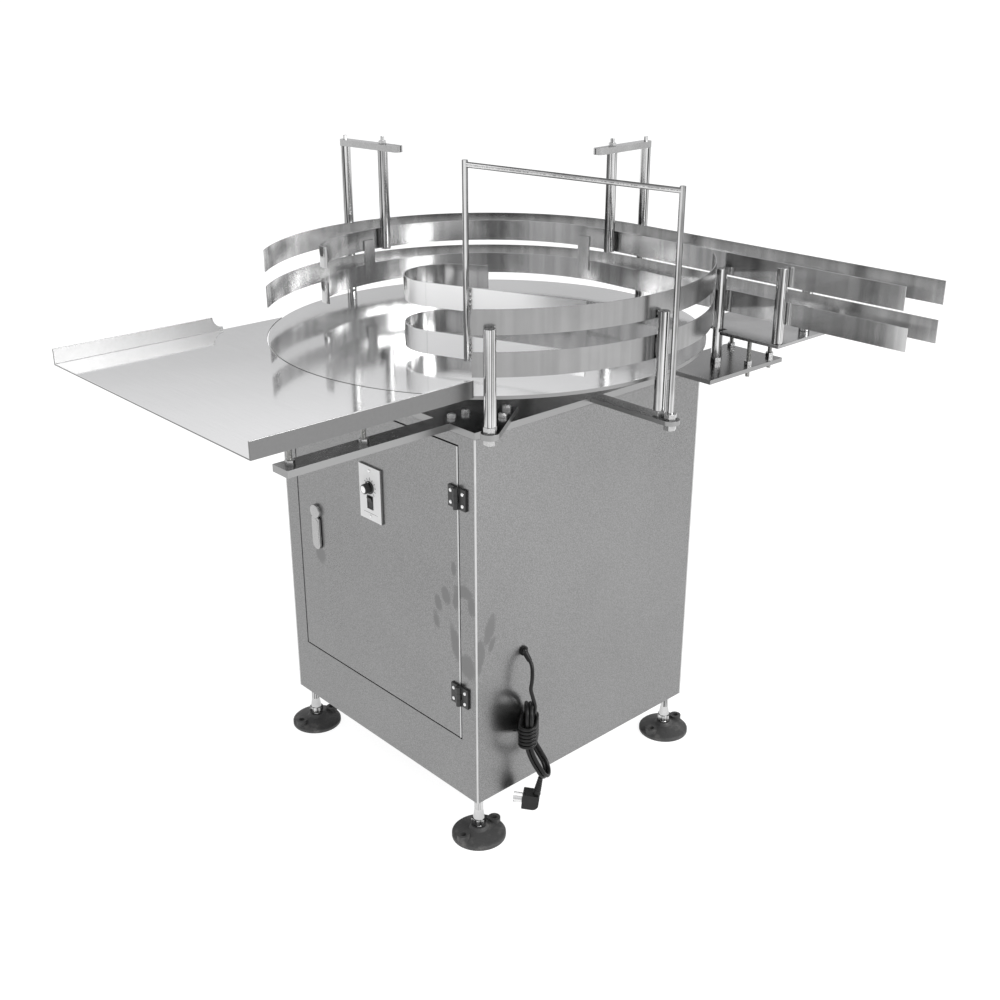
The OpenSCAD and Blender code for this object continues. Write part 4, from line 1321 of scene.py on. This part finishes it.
    def _plug(self, make: Maker) -> list[bpy.types.Object]:
        """Makes the plug's moulded body with its ribbed neck, and its blades.

        Args:
            make: Maker of pieces.

        Returns:
            The pieces.
        """
        body = Solid()
        high, low = self.frame @ Vector(self.neck_from), self.frame @ Vector(self.neck_to)
        neck_l = (high - low).length
        ends = [(r, neck_l * share) for r, share in self.neck_ends]
        ribs: list[Flat] = []
        for k in range(self.rib_count):
            start = self.rib_from + k * neck_l * self.rib_pitch
            wide = self.rib_r[0] + k * self.rib_r[1]
            ribs += [(wide + r, start + rise) for r, rise in self.rib]
        body.lathe([ends[0], *ribs, *ends[1:]], aim(low - high, high), 24)
        tip = Matrix.Rotation(math.radians(self.plug_tip), 4, "X")
        seat = self.frame @ Matrix.Translation(Vector(self.plug_at)) @ tip
        stand = seat @ Matrix(((0, 0, 1, 0), (1, 0, 0, 0), (0, 1, 0, 0), (0, 0, 0, 1)))
        body.prism(self._corners(self.plug_corners), -self.plug_half_t, self.plug_half_t, stand, 0.003)
        moulded = make.add("plug_body", body, Look.PLUG, Body.STAND, "plug_black", 40)
        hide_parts("plug")
        pins = Solid()
        for x, z, turn in self.blades:
            foot = seat @ Matrix.Translation(Vector((x, self.blade_from, z)))
            blade = foot @ Matrix.Rotation(math.radians(turn), 4, "Y")
            pins.block((-0.0008, -0.017, -0.0032), (0.0008, 0.001, 0.0032), 0.0004, blade)
        return [moulded, make.add("plug_pins", pins, Look.PIN, Body.STAND, "plug_black", 40)]

    @staticmethod
    def _corners(corners: Iterable[Point]) -> list[Flat]:
        """Outline of a box with rounded corners.

        Args:
            corners: Each corner's place and radius, counter-clockwise from the upper right.

        Returns:
            Points round the outline.
        """
        outline = []
        for n, (x, y, r) in enumerate(corners):
            cx, cy = x - math.copysign(r, x), y - math.copysign(r, y)
            for k in range(7):
                a = math.radians(90 * n + 15 * k)
                outline.append((cx + r * math.cos(a), cy + r * math.sin(a)))
        return outline


@dataclass
class Cabinet:
    """Closed base of the table: sheets, frame, base plate and feet."""

    highlight_line_r: float = 0.0018
    sheet_edge: float = 0.0006
    plate_edge: float = 0.0008
    bolt_edge: float = 0.0007
    nut_edge: float = 0.0008
    pad_edge: float = 0.0012

    def build(self, make: Maker) -> None:
        """Dresses the cabinet.

        Args:
            make: Maker of pieces.
        """
        self._corner_highlight_lines(make)
        make.paint(Look.TUBE, "corner_posts", "frame_rails")
        make.paint(Look.SHEET, "floor_panel")
        for name in ("front_panel", "left_panel", "right_panel", "back_panel"):
            make.soften(name, Look.SHEET, Body.STAND, self.sheet_edge)
        make.soften("base_plate", Look.PLATE, Body.STAND, self.plate_edge)
        make.soften("base_bolts", Look.BOLT, Body.STAND, self.bolt_edge)
        make.soften("foot_nuts", Look.NUT, Body.STAND, self.nut_edge)
        make.paint(Look.ROD, "foot_stems")
        make.soften("foot_pads", Look.FOOT, Body.STAND, self.pad_edge, 3)
        make.paint(Look.CORD, "cable_gland")

    def _corner_highlight_lines(self, make: Maker) -> None:
        """Runs a bright rod down each of the cabinet's upright corners, a painted highlight on the corner edges.

        Args:
            make: Maker of pieces.
        """
        highlight_lines = Solid()
        at = HALF_W - self.highlight_line_r * 0.6
        for x in (-at, at):
            for y in (-at, at):
                stand = Matrix.Translation(Vector((x, y, 0.0)))
                highlight_lines.lathe([(self.highlight_line_r, CABINET_BOTTOM), (self.highlight_line_r, CABINET_TOP)], stand, 20)
        make.add("corner_highlight_lines", highlight_lines, Look.HIGHLIGHT_LINE, Body.STAND, "satin_sheet", 40)


@dataclass
class Door:
    """Door with its hinges, latch and speed control."""

    front: float = -0.280
    half_w: float = 0.237
    low: float = -0.651
    high: float = -0.097
    panel_edge: float = 0.0012
    leaf_edge: float = 0.0007
    control_edge: float = 0.0005
    fold_highlight_r: float = 0.0017
    fold_highlight_in: Flat = (0.0012, 0.0010)
    hinge_x: float = 0.23825
    hinge_heights: Flat = (-0.186, -0.562)
    hinge_t: float = 0.004
    hinge_screws: Point = (0.0145, 0.0105, 0.0036)
    control: Point = (0.0, -0.284, -0.251)
    plate_screws: Flat = (0.044, 0.0031)
    dial_rise: float = 0.012
    dial_from: float = 0.0136
    dial_marks: Flat = (0.0042, 0.0055)
    print_line: Point = (0.020, -0.0385, -0.0379)
    switch_drop: float = -0.017
    switch_half: Flat = (0.0068, 0.0115)
    switch_rim: float = 0.0016
    knob_off: float = 0.0003
    knob_skirt: Profile = ((0.0120, 0.0), (0.0120, 0.0022), (0.0112, 0.0032), (0.0, 0.0034))
    knob_shaft: Profile = ((0.0030, -0.0027), (0.0030, 0.001))
    knob_grip: Point = (0.0088, 0.003, 0.0135)
    knob_flutes: tuple[int, float] = (16, 0.00045)
    knob_crown: Profile = ((0.0088, 0.0133), (0.0078, 0.0146), (0.0, 0.0146))
    knob_cap: Profile = ((0.0068, 0.0140), (0.0068, 0.0148), (0.0060, 0.0152), (0.0, 0.0152))
    latch: Point = (-0.179, -0.280, -0.342)
    lever_boss: Profile = ((0.0140, 0.0003), (0.0140, 0.0056), (0.0132, 0.0067), (0.0100, 0.0072), (0.0, 0.0073))
    lever_spindle: Profile = ((0.0060, -0.0465), (0.0060, 0.004))
    lever_end: Flat = (0.0125, -0.0665)
    lever_neck: Profile = ((0.0120, -0.014), (0.0, -0.009), (-0.0120, -0.014))
    lever_middle: float = 0.042

    def build(self, make: Maker) -> None:
        """Dresses the door.

        Args:
            make: Maker of pieces.
        """
        make.soften("door_panel", Look.SHEET, Body.DOOR, self.panel_edge)
        self._fold(make)
        make.soften("hinge_frame_leaves", Look.HINGE, Body.STAND, self.leaf_edge)
        make.soften("hinge_door_leaves", Look.HINGE, Body.DOOR, self.leaf_edge)
        make.paint(Look.CONTROLLER, "controller")
        make.soften("control_plate", Look.CONTROL, Body.DOOR, self.control_edge)
        make.paint(Look.LATCH, "latch_cam")
        make.paint(Look.SWITCH, "rocker_switch")
        self._screws(make)
        self._knob(make)
        self._dial(make)
        self._lever(make)

    def _fold(self, make: Maker) -> None:
        """Runs a rounded fold down the door's hinge side, in a bright finish that paints a highlight on that edge.

        Args:
            make: Maker of pieces.
        """
        fold = Solid()
        stand = Matrix.Translation(Vector((self.half_w - self.fold_highlight_in[0], self.front + self.fold_highlight_in[1], 0.0)))
        fold.lathe([(self.fold_highlight_r, self.low), (self.fold_highlight_r, self.high)], stand, 20)
        make.add("door_fold", fold, Look.HIGHLIGHT_LINE, Body.DOOR, "satin_sheet", 40)

    @staticmethod
    def _screw(solid: Solid, x: float, y: float, z: float, r: float) -> None:
        """Adds a dome screw head.

        Args:
            solid: Mesh that takes the head.
            x: Its place along X.
            y: Plane that it sits on.
            z: Its height.
            r: Its radius.
        """
        rings = [(r, -0.0004), (r, 0.0006)]
        for k in range(1, 6):
            a = math.radians(18 * k)
            rings.append((r * math.cos(a) if k < 5 else 0.0, 0.0006 + 0.55 * r * math.sin(a)))
        solid.lathe(rings, aim((0, -1, 0), (x, y, z)), 20)

    def _screws(self, make: Maker) -> None:
        """Sets the screws of the hinges and of the control plate.

        Args:
            make: Maker of pieces.
        """
        frame_side, door_side = Solid(), Solid()
        off, up, r = self.hinge_screws
        for z in self.hinge_heights:
            for rise in (-up, up):
                self._screw(frame_side, self.hinge_x + off, self.front - self.hinge_t, z + rise, r)
                self._screw(door_side, self.hinge_x - off, self.front - self.hinge_t, z + rise, r)
        x, y, z = self.control
        up, r = self.plate_screws
        for rise in (-up, up):
            self._screw(door_side, x, y, z + rise, r)
        make.add("hinge_screws_frame", frame_side, Look.PIN, Body.STAND, "fastener_steel", 40)
        make.add("hinge_screws_door", door_side, Look.PIN, Body.DOOR, "fastener_steel", 40)

    def _knob(self, make: Maker) -> None:
        """Makes the fluted knob with its bright cap and pointer line.

        Args:
            make: Maker of pieces.
        """
        x, y, z = self.control
        at = aim((0, -1, 0), (x, y - self.knob_off, z + self.dial_rise))
        body = Solid()
        body.lathe(self.knob_skirt, at, 48)
        body.lathe(self.knob_shaft, at, 24)
        radius, low, high = self.knob_grip
        flutes, depth = self.knob_flutes
        outline = []
        for a, cos, sin in circle(96):
            r = radius + depth * math.cos(flutes * a)
            outline.append((r * cos, r * sin))
        body.prism(outline, low, high, at)
        body.lathe(self.knob_crown, at, 48)
        knob = make.add("knob_body", body, Look.KNOB, Body.KNOB, "knob_black", 40)
        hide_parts("speed_knob")
        cap = Solid().lathe(self.knob_cap, at, 40)
        make.add("knob_cap", cap, Look.PIN, Body.KNOB, "knob_black", 40)
        line = Solid().block((-0.0004, 0.0092, 0.0020), (0.0004, 0.0117, 0.0036), 0.0001, at)
        make.add("knob_line", line, Look.WHITE_INK, Body.KNOB, "knob_black")

    def _dial(self, make: Maker) -> None:
        """Prints the dial's marks and a line, and frames the switch.

        Args:
            make: Maker of pieces.
        """
        x, y, z = self.control
        at = aim((0, -1, 0), (x, y, z + self.dial_rise))
        marks = Solid()
        for k in range(11):
            spin = at @ Matrix.Rotation(math.radians(140 - 28 * k), 4, "Z")
            end = self.dial_from + self.dial_marks[k % 5 == 0]
            marks.block((-0.0006, self.dial_from, -0.0001), (0.0006, end, 0.00012), 0.0, spin)
        half, low, high = self.print_line
        marks.block((x - half, y - 0.00012, z + low), (x + half, y + 0.0001, z + high))
        make.add("dial_marks", marks, Look.INK, Body.DOOR, "control_face")
        rim = Solid()
        mid = z + self.switch_drop
        w, l = self.switch_half
        wide, long = w + self.switch_rim, l + self.switch_rim
        sides = ((-wide, -long, -w, long), (w, -long, wide, long), (-w, l, w, long), (-w, -long, w, -l))
        for left, under, right, over in sides:
            rim.block((x + left, y - 0.0012, mid + under), (x + right, y + 0.0005, mid + over), 0.0004)
        make.add("switch_rim", rim, Look.SWITCH, Body.DOOR, "switch_black")

    def _lever(self, make: Maker) -> None:
        """Makes the latch lever: round boss, stepped neck and long paddle.

        Args:
            make: Maker of pieces.
        """
        at = aim((0, -1, 0), self.latch)
        flip = Matrix.Translation(Vector(self.latch)) @ Matrix.Rotation(math.radians(90), 4, "X")
        solid = Solid()
        solid.lathe(self.lever_boss, at, 48)
        solid.lathe(self.lever_spindle, at, 28)
        r, end = self.lever_end
        outline = []
        for k in range(13):
            a = math.radians(180 + 15 * k)
            outline.append((r * math.cos(a), end + r * math.sin(a)))
        outline += self.lever_neck
        solid.prism(outline, 0.0015, 0.0052, flip, 0.0012)
        inner = [(px * 0.74, -self.lever_middle + (py + self.lever_middle) * 0.82) for px, py in outline]
        solid.prism(inner, 0.004, 0.0056, flip, 0.0006)
        lever = make.add("lever_paddle", solid, Look.LATCH, Body.LATCH, "latch_metal", 40)
        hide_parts("latch_lever")


@dataclass
class Turntable:
    """Turning disc with its drive."""

    def build(self, make: Maker) -> None:
        """Dresses the disc and the drive.

        Args:
            make: Maker of pieces.
        """
        make.paint(Look.DISC, "disc")
        make.paint(Look.MACHINED, "hub", "spindle", "coupling", "output_shaft", "spindle_bearings")
        make.paint(Look.CASTING, "bearing_housing")
        make.paint(Look.PLATE, "motor_bracket")
        make.paint(Look.GEAR_HEAD, "gear_head")
        make.paint(Look.MOTOR, "drive_motor")


@dataclass
class Supports:
    """Tray, arms, plates, posts, hangers and their nuts."""

    thin_edge: float = 0.0006
    edge: float = 0.0008
    round_edge: float = 0.0009

    def build(self, make: Maker) -> None:
        """Dresses the supports.

        Args:
            make: Maker of pieces.
        """
        make.soften("tray", Look.TRAY, Body.STAND, self.edge)
        make.soften("transfer_plate", Look.TRANSFER, Body.STAND, self.thin_edge)
        for name in ("tray_arms", "corner_arm", "post_arms", "bracket_plate"):
            make.soften(name, Look.PLATE, Body.STAND, self.edge)
        make.paint(Look.THREAD, "tray_studs", "transfer_studs")
        make.soften("support_nuts", Look.NUT, Body.STAND, self.edge)
        for name in ("front_posts", "lane_post", "exit_posts", "hanger_posts", "hanger_rods"):
            make.soften(name, Look.ROUND, Body.STAND, self.round_edge)
        make.soften("hanger_bars", Look.TRANSFER, Body.STAND, self.edge)
        make.paint(Look.ROD, "gallows_rod")


@dataclass(frozen=True)
class Hold:
    """A bar that a strip is welded to: its middle, the way to the strip, the bead's heights, and sizes."""

    at: Flat
    heading: float
    spans: Profile
    radius: float = 0.010
    bead: float = 0.0016
    ripple: float = 0.14
    beat: float = 2.1


@dataclass
class Guides:
    """Two tiers of guide strip, and the welds that hold them on their posts."""

    lower: Flat = (0.037, 0.069)
    upper: Flat = (0.104, 0.136)
    short: Flat = (0.104, 0.111)
    exit_upper: Flat = (0.104, 0.133)
    ring: float = 0.4202
    inside: float = 0.3128
    corner: float = -41.5
    lane_x: float = 0.289
    exit_xs: Flat = (0.421, 0.403)
    hanger: Flat = (0.00983, 0.31265)
    drop: Flat = (0.1783, -0.2064)
    drop_heading: float = 110.7
    drop_low: Flat = (0.023, 0.055)
    bead_step: float = 0.0012
    bead_in: float = 0.0012
    bead_side: float = 0.0018

    def build(self, make: Maker) -> None:
        """Dresses the strips.

        Args:
            make: Maker of pieces.
        """
        for look, part in (
            (Look.STRIP, "outer_guide"),
            (Look.STRIP, "inner_guide"),
            (Look.NOSE, "deflector"),
            (Look.FRONT, "front_guide"),
        ):
            make.paint(look, f"{part}_upper", f"{part}_lower")
        make.paint(Look.STRIP, "guide_links")
        welds = Solid()
        for hold in self._holds():
            self._weld(welds, hold)
        make.add("strip_welds", welds, Look.WELD, Body.STAND, "guide_strip", 60)

    def _holds(self) -> list[Hold]:
        """Lists the bars that carry strips.

        Returns:
            One entry for each bar.
        """
        low, high = self.lower, self.upper
        turn = math.radians(self.corner)
        corner = (self.ring * math.cos(turn), self.ring * math.sin(turn))
        near, far = self.exit_xs
        along, across = self.hanger
        return [
            Hold(corner, self.corner + 180, (low, self.short)),
            Hold((self.ring, 0.0), 180, (low, self.short)),
            Hold((self.lane_x, self.inside), 90, (low, self.short)),
            Hold((near, self.inside), 90, (low, self.exit_upper)),
            Hold((far, self.ring), -90, (low, self.exit_upper)),
            Hold((0.0, self.ring), -90, (low, high)),
            Hold((-self.ring, 0.0), 0, (low, high)),
            Hold((along, across), 90, (high,)),
            Hold((-across, along), 178.2, (high,)),
            Hold(self.drop, self.drop_heading, (self.drop_low, high), 0.005, 0.0028, 0.42, 0.9),
        ]

    def _weld(self, welds: Solid, hold: Hold) -> None:
        """Runs a rippled bead up both sides of a bar, where it meets the strip.

        Args:
            welds: Mesh that takes the beads.
            hold: The bar.
        """
        heading = math.radians(hold.heading)
        way = Vector((math.cos(heading), math.sin(heading), 0.0))
        across = Vector((-way.y, way.x, 0.0))
        middle = Vector((*hold.at, 0.0)) + way * (hold.radius + self.bead_in - hold.bead)
        for side in (-1, 1):
            spot = middle + across * side * (hold.bead + self.bead_side)
            for low, high in hold.spans:
                count = max(3, round((high - low) / self.bead_step))
                rings = []
                for k in range(count + 1):
                    end = math.sin(math.pi * k / count) ** 0.3 if 0 < k < count else 0.25
                    wave = 1.0 - hold.ripple + hold.ripple * math.cos(hold.beat * k)
                    rings.append((hold.bead * end * wave, low + (high - low) * k / count))
                welds.lathe(rings, Matrix.Translation(spot), 10)


def main() -> None:
    """Builds the dressed table in order."""
    logging.basicConfig(level=logging.INFO, format="%(name)s: %(message)s")
    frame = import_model()
    bpy.context.scene.view_settings.view_transform = "Standard"
    Studio().build()
    make = Maker(frame)
    for part in (PowerCord(), Cabinet(), Door(), Turntable(), Supports(), Guides()):
        part.build(make)
        log.info("%s is done", type(part).__name__)


if __name__ == "__main__":
    main()
